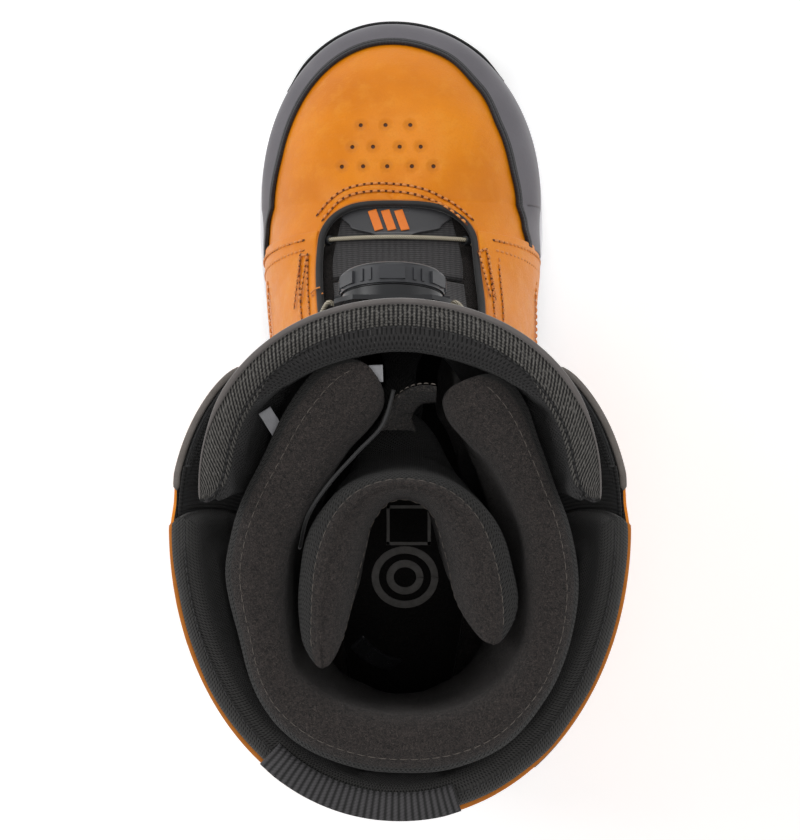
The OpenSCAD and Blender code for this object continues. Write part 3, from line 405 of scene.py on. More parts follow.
def stitch_mesh(name, rows, mat, pitch, r, lift, **finish):
    """Thread stitches along rows of (points, normals): each stitch dips into the surface at both ends."""
    verts, quads, uvs = [], [], []
    base = 0
    along = np.linspace(-1, 1, 7)
    ring = np.linspace(0, 2 * np.pi, 6, endpoint=False)
    for points, normals in rows:
        p, n = resample(points, pitch, normals)
        for k in range(len(p) - 1):
            a, b = p[k], p[k + 1]
            d = b - a
            length = np.linalg.norm(d)
            if length < 0.4:
                continue
            d = d / length
            up = unit(n[k] + n[k + 1])
            side = unit(np.cross(d, up))
            half = (length - STITCH_GAP) / 2
            fat = np.sqrt(np.clip(1 - np.abs(along) ** 3.2, 0.02, 1))
            high = lift + r * 0.55 * fat - r * 0.75 * np.abs(along) ** 4
            centre = (a + b) / 2 + along[:, None] * d * half + up * high[:, None]
            around = np.cos(ring)[None, :, None] * side + 0.85 * np.sin(ring)[None, :, None] * up
            rings = centre[:, None] + r * fat[:, None, None] * around
            verts.append(rings.reshape(-1, 3))
            i, j = np.meshgrid(np.arange(6), np.arange(6), indexing="ij")
            m = (j + 1) % 6
            quad = np.stack([i * 6 + j, i * 6 + m, (i + 1) * 6 + m, (i + 1) * 6 + j], -1).reshape(-1, 4)
            quads.append(quad[:, ::-1] + base)
            uv = np.broadcast_arrays((along * half + k * pitch)[:, None], ring[None] * r)
            uvs.append(np.stack(uv, -1).reshape(-1, 2))
            base += 42
    return finish_piece(add_object(name, *[np.concatenate(part) for part in (verts, quads, uvs)], mat), **finish)


def hole_and_shade_mesh(name, rows, mat, pitch, lift, **finish):
    """Small dark discs between the stitches of the same rows: the needle holes, with painted shade where the thread
    sinks into them.
    """
    verts, quads, uvs = [], [], []
    base = 0
    ring = np.linspace(0, 2 * np.pi, 8, endpoint=False)
    for points, normals in rows:
        p, n = resample(points, pitch, normals)
        t = unit(np.gradient(p, axis=0))
        for k in range(len(p)):
            side = unit(np.cross(t[k], n[k]))
            rings = []
            for size, high in ((1.0, 0.0), (0.05, 0.02)):
                around = 1.7 * np.cos(ring)[:, None] * t[k] + 0.9 * np.sin(ring)[:, None] * side
                rings.append(p[k] + n[k] * (lift + high) + size * HOLE_AND_SHADE_R * around)
            verts.append(np.concatenate(rings))
            j = np.arange(8)
            m = (j + 1) % 8
            quads.append(np.stack([j, m, m + 8, j + 8], -1)[:, ::-1] + base)
            uvs.append(np.zeros((16, 2)))
            base += 16
    return finish_piece(add_object(name, *[np.concatenate(part) for part in (verts, quads, uvs)], mat), **finish)


def seam(name, rows, thread, body="boot", pitch=2.8, r=0.52, dark=None, lift=0.16):
    """Stitches, with dark discs between them if a dark material is given: needle holes with painted shade where the
    thread sinks in.
    """
    stitch_mesh(name, rows, thread, pitch, r, lift, body=body)
    if dark:
        hole_and_shade_mesh(name + "_hole_and_shade", rows, dark, pitch, lift - 0.05, body=body)


def row(q, u, d):
    q, u = np.broadcast_arrays(np.asarray(q, float), np.asarray(u, float))
    return skin(q, u, np.broadcast_to(d, q.shape)), normal(q, u)


HASH = np.array([374761393, 668265263, 2147483647, 1274126177])  # large odd numbers that scatter the lattice


def lattice_noise(p, size, seed=0):
    """Smooth noise from -1 to 1 at points in mm, with features of about that size."""
    g = np.asarray(p, float) / size
    i = np.floor(g).astype(np.int64)
    f = g - i
    f = f * f * (3 - 2 * f)
    total = 0
    for dx in (0, 1):
        for dy in (0, 1):
            for dz in (0, 1):
                corner = np.array([dx, dy, dz])
                h = ((i + corner) * HASH[:3]).sum(-1) + seed * HASH[3]
                h = (h ^ (h >> 13)) * HASH[3]
                value = ((h ^ (h >> 16)) & 0xFFFF) / 32767.5 - 1
                x, y, z = np.moveaxis(np.where(corner, f, 1 - f), -1, 0)
                total = total + x * y * z * value
    return total


def nearest_lines(line, n):
    """Which grid lines of a fine pad stand nearest to n evenly spaced places."""
    return np.unique([int(np.argmin(np.abs(line - t))) for t in np.linspace(0, 1, n)])


def inflate(outer, inner, a, b, cap=1.0, count=(26, 64), shares=(0.0, 1.0), frames=20):
    """Blows a coarse copy of a pad up as cloth. The fine pad's two faces move by their share of that, up to cap mm."""
    lines_a, lines_b = a[:, 0], b[0]
    pick_a, pick_b = nearest_lines(lines_a, count[0]), nearest_lines(lines_b, count[1])
    obj = shell("inflated", *[face[np.ix_(pick_a, pick_b)] for face in (outer, inner)], FLEECE)
    md = obj.modifiers.new("Cloth", "CLOTH")
    md.settings.quality, md.settings.mass = CLOTH_QUALITY, CLOTH_MASS
    md.settings.use_pressure = True
    md.settings.uniform_pressure_force = CLOTH_PRESSURE
    md.settings.effector_weights.gravity = 0
    md.collision_settings.use_collision = False
    md.point_cache.frame_start, md.point_cache.frame_end = 1, frames
    for f in range(1, frames + 1):
        bpy.context.scene.frame_set(f)
    move = []
    for mesh in (obj.data, obj.evaluated_get(bpy.context.evaluated_depsgraph_get()).data):
        co = np.zeros(len(mesh.vertices) * 3, np.float32)
        mesh.vertices.foreach_get("co", co)
        move.append(co.reshape(2, len(pick_a), len(pick_b), 3).astype(float))
    move = (move[1] - move[0]) / MM
    move *= np.minimum(1, cap / np.maximum(np.linalg.norm(move, axis=-1, keepdims=True), 1e-6))
    mesh = obj.data
    bpy.data.objects.remove(obj, do_unlink=True)
    bpy.data.meshes.remove(mesh)
    bpy.context.scene.frame_set(1)
    at_a, at_b = lines_a[pick_a], lines_b[pick_b]
    move = np.apply_along_axis(lambda v: np.interp(lines_a, at_a, v), 1, move)
    move = np.apply_along_axis(lambda v: np.interp(lines_b, at_b, v), 2, move)
    return outer + move[0] * shares[0], inner + move[1] * shares[1]


# ---------------------------------------------------------------- materials


def srgb(code):
    c = [int(code[i:i + 2], 16) / 255 for i in (1, 3, 5)]
    return tuple(x / 12.92 if x <= 0.04045 else ((x + 0.055) / 1.055) ** 2.4 for x in c) + (1.0,)


class Mat:
    def __init__(self, name, rough=0.6, **levels):
        self.m = bpy.data.materials.new(name)
        self.m.use_nodes = True
        self.t = self.m.node_tree
        self.b = self.t.nodes["Principled BSDF"]
        self.b.inputs["Roughness"].default_value = rough
        for key, value in levels.items():
            self.b.inputs[key.replace("_", " ")].default_value = value
        self.n_in = None

    def node(self, kind, inputs=(), **props):
        n = self.t.nodes.new("ShaderNode" + kind)
        for key, value in props.items():
            setattr(n, key, value)
        for key, value in dict(inputs).items():
            self.put(n.inputs[key], value)
        return n

    def put(self, socket, value):
        if isinstance(value, bpy.types.NodeSocket):
            self.t.links.new(value, socket)
        elif value is not None:
            socket.default_value = value

    def set(self, key, value):
        self.put(self.b.inputs[key], value)

    def uv(self):
        c = self.node("UVMap", uv_map="UVMap").outputs[0]
        return self.node("VectorMath", {0: c, 1: (1.0, 1.0, 1.0)}, operation="MULTIPLY").outputs[0]

    def mm(self, scale=(1.0, 1.0, 1.0)):
        c = self.node("TexCoord").outputs["Object"]
        return self.node("VectorMath", {0: c, 1: tuple(1000.0 * s for s in scale)}, operation="MULTIPLY").outputs[0]

    def axis(self, vec, k):
        return self.node("SeparateXYZ", {0: vec}).outputs[k]

    def noise(self, vec, size, detail=3.0, rough=0.5, distort=0.0):
        return self.node("TexNoise", {"Vector": vec, "Scale": 1.0 / size, "Detail": detail, "Roughness": rough,
                                      "Distortion": distort}).outputs[0]

    def cells(self, vec, size, random=1.0):
        return self.node("TexVoronoi",
                         {"Vector": vec, "Scale": 1.0 / size, "Randomness": random}).outputs["Distance"]

    def math(self, op, a, b=None, c=None):
        n = self.node("Math", operation=op)
        for i, v in enumerate((a, b, c)):
            self.put(n.inputs[i], v)
        return n.outputs[0]

    def wave(self, x, period, phase=0.0):
        """0 to 1 and back over each period."""
        s = self.math("SINE", self.line(x, 2 * np.pi / period, phase))
        return self.line(s, 0.5, 0.5)

    def span(self, x, a, b, lo=0.0, hi=1.0):
        return self.node("MapRange", {0: x, 1: a, 2: b, 3: lo, 4: hi}, interpolation_type="SMOOTHSTEP").outputs[0]

    def mix(self, f, a, b):
        n = self.node("Mix", data_type="RGBA")
        self.put(n.inputs[0], f)
        self.put(n.inputs[6], a)
        self.put(n.inputs[7], b)
        return n.outputs[2]

    def bump(self, height, depth, strength=1.0):
        """Adds relief: height 0 to 1 stands for depth mm."""
        self.n_in = self.node("Bump", {"Strength": strength, "Distance": depth * MM, "Height": height,
                                       "Normal": self.n_in}).outputs[0]
        self.set("Normal", self.n_in)

    def times(self, a, b):
        return self.math("MULTIPLY", a, b)

    def line(self, x, slope, level):
        return self.math("MULTIPLY_ADD", x, slope, level)


def leather(name, base, dark, pale, shine=0.42, grain=0.75, depth=0.05, extra=None):
    m = Mat(name, shine, Specular_IOR_Level=0.24, Coat_Weight=0.05, Coat_Roughness=0.22)
    p = m.mm()
    broad, cloud, fine = m.noise(p, 38, 3), m.noise(p, 7, 4, 0.6), m.noise(p, 0.5, 2)
    pores = m.cells(p, grain)
    col = m.mix(m.span(broad, 0.35, 0.7), srgb(base), srgb(dark))
    col = m.mix(m.times(m.span(cloud, 0.45, 0.75), 0.45), col, srgb(pale))
    col = m.mix(m.times(m.span(pores, 0.5, 0.75), 0.22), col, srgb(dark))
    creases = m.noise(m.mm((1.0, 2.2, 1.4)), 9, 5, 0.62, 1.2)
    line = m.span(m.math("ABSOLUTE", m.math("SUBTRACT", creases, 0.5)), 0.0, 0.03, 0.0, 1.0)
    m.bump(m.math("SUBTRACT", 1.0, pores), depth)
    m.bump(fine, depth * 0.5)
    m.bump(line, 0.05, 0.5)
    m.bump(cloud, 0.35, 0.5)
    if extra:
        col = extra(m, col)
    m.set("Base Color", col)
    m.set("Roughness", m.line(m.noise(p, 3, 4), 0.22, shine - 0.1))
    return m.m


def plain(name, base, dark, rough=0.5, size=0.6, depth=0.03, spread=12, sheen=0.0, spec=0.5):
    """A moulded or coated surface: fine texture, faint clouding."""
    m = Mat(name, rough, Specular_IOR_Level=spec, Sheen_Weight=sheen, Sheen_Roughness=0.4)
    p = m.mm()
    fine, cloud = m.noise(p, size, 3), m.noise(p, spread, 4)
    m.set("Base Color", m.mix(m.line(cloud, 0.8, m.times(fine, 0.25)), srgb(base), srgb(dark)))
    m.set("Roughness", m.line(cloud, 0.2, rough - 0.1))
    m.bump(fine, depth)
    return m.m


def ribbed(name, ribs, base, dark, period=1.4, bead=1.0, along=0, depth=0.35, rough=0.75, sheen=0.3, flecks=None):
    """A knitted textile: ribs across UV axis `along`, each with small beads."""
    m = Mat(name, rough, Sheen_Weight=sheen, Sheen_Roughness=0.5, Specular_IOR_Level=0.3)
    v = m.uv()
    warp = m.noise(v, 9, 3)
    x = m.math("ADD", m.axis(v, along), m.times(warp, 0.5))
    y = m.axis(v, 1 - along)
    rib = m.wave(x, period)
    beads = m.wave(y, bead)
    height = m.times(m.math("POWER", rib, 0.8), m.line(beads, 0.45, 0.55))
    tone = m.noise(v, 0.8, 2)
    col = m.mix(m.span(height, 0.15, 0.85), srgb(dark), srgb(base))
    col = m.mix(m.times(m.span(tone, 0.5, 0.8), 0.5), col, srgb(ribs))
    if flecks:
        spots = m.cells(v, flecks[1], random=0.7)
        col = m.mix(m.times(m.span(spots, 0.28, 0.12), 0.8), col, srgb(flecks[0]))
    m.set("Base Color", col)
    m.bump(height, depth)
    m.bump(tone, 0.1)
    return m.m


def mesh_cloth(name, base, dark, fleck, pitch=1.5, depth=0.35, share=0.5):
    """A spacer mesh: a grid of small dark holes with pale flecks of thread between them."""
    m = Mat(name, 0.8, Sheen_Weight=0.08, Sheen_Roughness=0.5, Specular_IOR_Level=0.22)
    v = m.uv()
    x, y = m.axis(v, 0), m.axis(v, 1)
    a = m.wave(m.math("ADD", x, m.times(y, 0.5)), pitch)
    b = m.wave(m.math("SUBTRACT", x, m.times(y, 0.5)), pitch)
    hole = m.times(a, b)
    thread = m.noise(v, 0.45, 3, 0.7)
    patch = m.noise(v, 6, 3)
    col = m.mix(m.span(hole, 0.2, 0.7), srgb(base), srgb(dark))
    bright = m.times(m.span(thread, 0.58, 0.72), m.span(patch, 0.35, 0.7, 0.25, 1.0))
    col = m.mix(m.times(bright, share), col, srgb(fleck))
    m.set("Base Color", col)
    m.bump(m.math("SUBTRACT", 1.0, hole), depth)
    m.bump(thread, 0.15)
    return m.m


def pile(name, base, dark, tip, size=0.9, depth=0.9):
    """Short brushed fleece."""
    m = Mat(name, 0.95, Sheen_Weight=0.12, Sheen_Roughness=0.6, Specular_IOR_Level=0.12)
    p = m.mm()
    tuft, fine, cloud = m.noise(p, size * 1.15, 4, 0.75, 1.2), m.noise(p, size * 0.5, 3, 0.75), m.noise(p, 14, 3)
    col = m.mix(m.span(tuft, 0.4, 0.6), srgb(dark), srgb(base))
    col = m.mix(m.times(m.span(fine, 0.5, 0.66), 0.75), col, srgb(tip))
    col = m.mix(m.times(cloud, 0.35), col, srgb(dark))
    m.set("Base Color", col)
    m.bump(tuft, depth)
    m.bump(fine, depth * 0.4)
    return m.m


def webbing(name, base, dark, rib=2.1, depth=0.4):
    m = Mat(name, 0.65, Sheen_Weight=0.2, Sheen_Roughness=0.5, Specular_IOR_Level=0.35)
    v = m.uv()
    x, y = m.axis(v, 0), m.axis(v, 1)
    bars = m.wave(y, rib)
    weave = m.wave(m.math("ADD", x, m.times(y, 0.5)), 1.1)
    height = m.times(m.math("POWER", bars, 0.6), m.line(weave, 0.3, 0.7))
    m.set("Base Color", m.mix(m.span(height, 0.1, 0.9), srgb(dark), srgb(base)))
    m.bump(height, depth)
    return m.m


def cable(name, base, dark):
    m = Mat(name, 0.45, Specular_IOR_Level=0.5)
    v = m.uv()
    twist = m.wave(m.math("ADD", m.axis(v, 0), m.times(m.axis(v, 1), 0.9)), 0.9)
    m.set("Base Color", m.mix(m.span(twist, 0.1, 0.8), srgb(dark), srgb(base)))
    m.bump(twist, 0.12)
    return m.m


def perforate(m, col):
    """Dimpled holes over the toe, placed by the object's own coordinates, with painted shade in and round each hole.
    """
    p = m.mm()
    flat = m.node("CombineXYZ", {0: m.axis(p, 0), 1: m.axis(p, 1), 2: 0.0}).outputs[0]
    near = None
    for y, xs in ((107.8, (-15.2, -5.6, 4.0)), (99.0, (-18.4, -10.4, -0.1, 8.0)),
                  (91.2, (-22.4, -14.2, -4.9, 4.6, 12.9))):
        for x in xs:
            d = m.node("VectorMath", {0: flat, 1: (x, y, 0.0)}, operation="DISTANCE").outputs["Value"]
            near = d if near is None else m.math("MINIMUM", near, d)
    m.bump(m.span(near, 0.6, 3.4), 0.75)
    m.bump(m.span(near, 0.35, 0.95), 0.9)
    # Painted shade: a darker orange ring over each dimple, and a dark brown centre in each hole for the shade inside
    # it and the dark liner behind it.
    col = m.mix(m.span(near, 3.0, 1.2, 0.0, 0.35), col, srgb("#B8660F"))
    return m.mix(m.span(near, 0.95, 0.55), col, srgb("#4A2508"))


ORANGE = leather("leather_orange", "#DE8306", "#CE7402", "#E0912A")
VAMP = leather("leather_vamp", "#DE8306", "#CE7402", "#E0912A", extra=perforate)
RAW = plain("leather_raw_edge", "#77706B", "#55504C", 0.85, 0.5, 0.2, 4)
ORANGE_EDGE = plain("leather_orange_edge", "#C9781C", "#A85E10", 0.8, 0.5, 0.15, 4)
RAND = plain("rand_rubber", "#615E64", "#4E4B51", 0.5, 1.1, 0.05, 20, spec=0.45)
RAND_BAND = ribbed("rand_stitched_band", "#3A393D", "#2A292D", "#151517", 2.0, 1.3, 0, 0.3, 0.6, 0.0)
RUBBER = plain("rubber_black", "#1B1B1D", "#0F0F10", 0.62, 0.8, 0.08, 15)
FOAM = plain("midsole_foam", "#EDEDF1", "#DADADF", 0.55, 1.6, 0.12, 25)
NYLON = ribbed("nylon_ribbed", "#484547", "#383637", "#191819", 1.05, 2.4, 1, 0.12, 0.62, 0.1)
LINING = ribbed("lining_black", "#242323", "#1A1919", "#0C0C0C", 1.3, 1.1, 0, 0.25, 0.8, 0.08)
BAND = ribbed("tongue_ribbed_band", "#93908C", "#63605C", "#090909", 1.45, 0.95, 0, 0.55, 0.75, 0.05)
MESH = mesh_cloth("spacer_mesh", "#2C2B2B", "#0C0C0C", "#9C9A98")
MESH_DARK = mesh_cloth("spacer_mesh_dark", "#2A2928", "#0A0A0A", "#8B8885", share=0.45)
FLEECE = pile("liner_fleece", "#393230", "#141110", "#5C534E")
LOOPS = pile("liner_loop_pile", "#2A2523", "#0C0B0B", "#5A524B", 1.4, 1.6)
COLLAR = mesh_cloth("collar_textile", "#3C3B3A", "#0F0F0F", "#7B7875", 1.1, 0.3, 0.4)
BINDING = plain("binding_grey", "#635E5C", "#524D4B", 0.75, 0.45, 0.12, 6, sheen=0.3)
BLACK_EDGE = plain("binding_black", "#1E1D1E", "#111112", 0.6, 0.5, 0.15, 6, sheen=0.2)
GLOSS = plain("badge_gloss", "#434345", "#353537", 0.3, 1.2, 0.02, 20)
DIAL = plain("dial_plastic", "#232427", "#17181A", 0.34, 0.7, 0.015, 10)
DIAL_GRIP = plain("dial_grip_rubber", "#3A3B3F", "#2B2C2F", 0.45, 0.6, 0.03, 6)
STEEL = plain("steel", "#B5B5B8", "#8F8F92", 0.35, 0.3, 0.02, 3)
THREAD = plain("thread_orange", "#E9A055", "#B9641A", 0.6, 0.35, 0.15, 2)
THREAD_DARK = plain("thread_black", "#2B2A2B", "#141414", 0.65, 0.35, 0.15, 2)
THREAD_PALE = plain("thread_pale", "#6B635C", "#4A443F", 0.7, 0.35, 0.15, 2)
# Dark discs at the ends of the stitches: needle holes, with painted shade where the thread sinks into the surface.
HOLE_AND_SHADE = plain("stitch_hole_and_shade", "#6B340B", "#3B1B06", 0.9, 0.4, 0.05, 1)
HOLE_AND_SHADE_BLACK = plain("stitch_hole_and_shade_black", "#0A0A0A", "#050505", 0.9, 0.4, 0.05, 1)
LACE = cable("lace_cable", "#B9B09C", "#6F6857")
WEB = webbing("pull_webbing", "#434143", "#0E0E0E")
LABEL = plain("label_woven", "#C4C4C7", "#A4A4A8", 0.8, 0.35, 0.12, 3)
RIBBON = plain("ribbon_satin", "#2A2A2C", "#121213", 0.3, 0.5, 0.06, 3)
FELT = pile("footbed_felt", "#1D1B1A", "#0C0B0B", "#34302D", 0.7, 0.3)
MARK = plain("printed_mark", "#8E8B88", "#5F5C5A", 0.85, 0.5, 0.05, 3)
BOARD = plain("board", "#8A7350", "#6D5A3D", 0.9, 0.6, 0.2, 8)
FLOOR = plain("floor", "#FFFFFF", "#FCFCFC", 0.9, 50, 0.0, 900)
floor_shader = FLOOR.node_tree.nodes["Principled BSDF"]
floor_shader.inputs["Emission Color"].default_value = (1, 1, 1, 1)
floor_shader.inputs["Emission Strength"].default_value = 0.22

# CAD nodes that are looked at as they are; every node not listed is dial plastic
OWN_MATERIAL = {"outsole": RUBBER, "lasting_board": BOARD, "heel_counter": BOARD, "dial_pawl_disc": STEEL,
                "dial_screw": STEEL, "dial_grip": DIAL_GRIP}
GUIDES = [f"guide_{place}_{word}" for place in ("toe", "ankle", "flap") for word in ("medial", "lateral")]
for node in [*OWN_MATERIAL, "dial_plate", "dial_base", "dial_spool", "dial_knob", *GUIDES]:
    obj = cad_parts[node]
    obj.data.materials.clear()
    obj.data.materials.append(OWN_MATERIAL.get(node, DIAL))
    if node in ("dial_knob", "dial_grip", "dial_base", "dial_plate"):
        bevel = obj.modifiers.new("Soft edges", "BEVEL")
        bevel.width = 0.35 * MM
        bevel.segments = 2
        bevel.limit_method = "ANGLE"
        bevel.angle_limit = 0.6


def second_material(obj, mat, first, last=None):
    """Gives a run of a shell's faces a second material. Its outer side comes first, then its inner side and edges."""
    obj.data.materials.append(mat)
    index = np.zeros(len(obj.data.polygons), np.int32)
    index[first:last] = 1
    obj.data.polygons.foreach_set("material_index", index)


_q, _u = np.meshgrid(np.linspace(-6, 6, 481), np.linspace(0.05, 100, 201), indexing="ij")
TOP_POINTS, TOP_NORMALS = bare(_q, _u).reshape(-1, 3), normal(_q, _u).reshape(-1, 3)


def on_top(points, d=0.0, steps=8):
    """Points of the upper above or below given (x, y) places, joined smoothly."""
    xy = through([[x, y, 0] for x, y in points], steps)[:, :2]
    out, normals = [], []
    for p in xy:
        i = int(np.argmin(((TOP_POINTS[:, :2] - p) ** 2).sum(1)))
        c, n = TOP_POINTS[i], TOP_NORMALS[i]
        off = p - c[:2]
        out.append(np.array([p[0], p[1], c[2] - (n[0] * off[0] + n[1] * off[1]) / max(n[2], 0.15)]) + n * d)
        normals.append(n)
    return np.array(out), np.array(normals)


# ---------------------------------------------------------------- sole

SIDE_STEPS = 110
_levels = {}


def outline(level, d=0.0, flare=0.0):
    if level not in _levels:
        s = np.arange(-SIDE_STEPS, SIDE_STEPS) / SIDE_STEPS
        end = heel_q(level)
        a = np.abs(s)
        q = np.sign(s) * np.where(a < 0.35, a / 0.35, 1 + (a - 0.35) / 0.65 * (end - 1))
        u = np.where(np.abs(q) >= end - 1e-9, 180.0, angle_at_height(q, level))
        raw = bare(q, u)[:, :2]
        for _ in range(3):
            raw = (np.roll(raw, 1, 0) + 2 * raw + np.roll(raw, -1, 0)) / 4
        _levels[level] = raw
    raw = _levels[level]
    t = unit(np.roll(raw, -1, 0) - np.roll(raw, 1, 0))
    out = np.stack([-t[:, 1], t[:, 0]], -1)
    return raw + (d + flare * ease((raw[:, 1] - 10) / 70))[:, None] * out


def spring(y):
    return np.where(y < 80, 0.0, TOE_SPRING * ((y - 80) / 75) ** 2)


def at_height(flat, z, share=1.0):
    return np.stack([flat[:, 0], flat[:, 1], z + share * spring(flat[:, 1])], -1)


def ring_wall(name, rings, mat, rising=False, **finish):
    """A closed band through rings of points, from one ring to the next."""
    rings = np.array([np.concatenate([r, r[:1]]) for r in rings])
    quads = lattice(rings.shape[0] - 1, rings.shape[1] - 1, flip=(turning(rings[0]) > 0) != rising)
    return finish_piece(add_object(name, rings.reshape(-1, 3), quads, lay_flat(rings).reshape(-1, 2), mat),
                        **finish)


def strip_cap(name, ring, mat, **finish):
    """A floor over a closed ring, in strips from side to side."""
    n = len(ring)
    half = n // 2
    rows = []
    for j in range(half + 1):
        a, b = ring[j], ring[(n - j) % n]
        rows.append(a + (b - a) * np.linspace(0, 1, 25)[:, None])
    rows = np.array(rows)
    return finish_piece(add_object(name, rows.reshape(-1, 3), lattice(half, 24), rows[..., :2].reshape(-1, 2), mat),
                        **finish)


wall = [[OUTSOLE_H + 0.1, 0.6, 1, 1], [8.6, 1.2, 0.97, 2.0], [OUTSOLE_H + 4, 1.6, 0.9, 2.8], [15, 1.8, 0.75, 3.3],
        [20, 1.9, 0.6, 3.7], [24.4, 1.85, 0.45, 3.75], [25, 1.2, 0.44, 3.75], [25.7, 1.2, 0.42, 3.75],
        [26.3, 1.8, 0.4, 3.75], [30, 1.8, 0.3, 3.8], [33.5, 1.6, 0.15, 3.7], [WALL_Z - 1.4, 1.5, 0, 3.6],
        [WALL_Z - 0.4, 1.2, 0, 3.3], [WALL_Z, 0.8, 0, 2.4], [WALL_Z, 0.4, 0, 1.4], [WALL_Z - 0.3, 0.2, 0, 0]]
rings = [at_height(outline(TREAD_LEVEL, r[1], r[3]), r[0], r[2]) for r in wall]
rings += [at_height(outline(TREAD_LEVEL, 0.4), 33.5, 0), at_height(outline(TREAD_LEVEL, -0.6), FLOOR_Z - 0.2, 0)]
ring_wall("midsole_wall", rings, FOAM, rising=True, replaces=("midsole",), slot="midsole_white")
strip_cap("midsole_floor", rings[-1], FOAM)


def bumper_points(depth_column, qs):
    table = [[4.2, 2, 3.2], [12, 5.2, 6.4], [21, 6, 7.2], [30, 6, 7], [38, 5.2, 6.2], [41, 4.6, 5.6]]
    heights = np.concatenate([np.linspace(table[i][0], table[i + 1][0], 9)[:-1] for i in range(5)] + [[41.0]])
    depths = np.interp(heights, [r[0] for r in table], [r[depth_column] for r in table])
    z, q = np.meshgrid(heights, qs)
    level = np.maximum(z, TREAD_LEVEL)
    p, n = bare(q, angle_at_height(q, level)), normal(q, np.full(q.shape, 90.0))
    flat = unit(n * np.array([1, 1, 0]))
    ribs = 0.3 * (np.sin(z * 2 * np.pi / 4.2) > 0.2) * (z < 30) if depth_column == 2 else 0
    rise = np.where(z < 30, z + spring(p[..., 1]) * (1 - z / 60), z)
    depths = depths - (depth_column == 2) * 1.1 * ease((np.abs(q) - 0.3) / 0.14)
    return np.stack([p[..., 0] + (depths + ribs) * flat[..., 0], p[..., 1] + (depths + ribs) * flat[..., 1], rise],
                    -1)


qs = np.linspace(-0.44, 0.44, 90)
finish_piece(shell("toe_bumper_skin", bumper_points(2, qs), bumper_points(1, qs), RUBBER), replaces=("toe_bumper",),
             slot="rubber_black")

# ---------------------------------------------------------------- leather upper


def creased(a, b, p):
    """Slight unevenness of stretched leather."""
    return 0.35 * lattice_noise(p, 17, 3) + 0.14 * lattice_noise(p, 6, 5)


def vamp_at(a, b):
    q = mix(-1 - VAMP_END, 1 + VAMP_END, a)
    return q, mix(throat_u(np.abs(q) - 1), edge_u(q), b)


plate("vamp_leather", vamp_at, -LEATHER, 0, 150, 56, VAMP, r=1.1,
      bulge=lambda a, b, p: 0.5 * creased(a, b, p), replaces=("vamp",), slot="leather_orange")


RAND_END = 2.07


def rand_u(q):
    """Angle of the rand's top edge, higher on the lateral side."""
    medial = ramp([[0, 67], [0.4, 66.5], [0.7, 66], [1, 71], [1.6, 79], [2.05, 82]], -q)
    return np.where(q < 0, medial,
                    ramp([[0, 67], [0.2, 65.5], [0.4, 61], [0.6, 57], [0.8, 56.5], [1, 59], [1.6, 62.5],
                          [2.05, 66]], q))


def rand_swell(q):
    return mix(1, 0.4, ease((np.abs(q) - 0.6) / 1.1))


def rand_at(a, b):
    q = mix(-RAND_END, RAND_END, a)
    low = np.minimum(edge_u(q), angle_at_height(q, WALL_Z + 1))
    return q, mix(rand_u(q), low, b)


def rand_top(a, b):
    """The rand's thickness: thin at its upper edge, fullest half-way down."""
    return 0.9 + rand_swell(mix(-RAND_END, RAND_END, a)) * (2.9 * ease(2.2 * b) - 0.7 * ease((b - 0.7) / 0.3))


plate("toe_rand_rubber", rand_at, 0.1, rand_top, 170, 26, RAND, r=1.3, replaces=("toe_rand",), slot="rand_grey")


def band_at(a, b):
    q = mix(-2.06, 2.06, a)
    top = rand_u(q)
    return q, top + mix(-1.2, 2.6, b)


plate("toe_rand_band", band_at, 0.2, 1.75, 260, 8, RAND_BAND, r=0.6)


def quarter_at(side):
    def at(a, b):
        k = mix(VAMP_END - 0.09, ankle_k(b), a)
        return side * (k + 1), round_u(k, b)
    return at


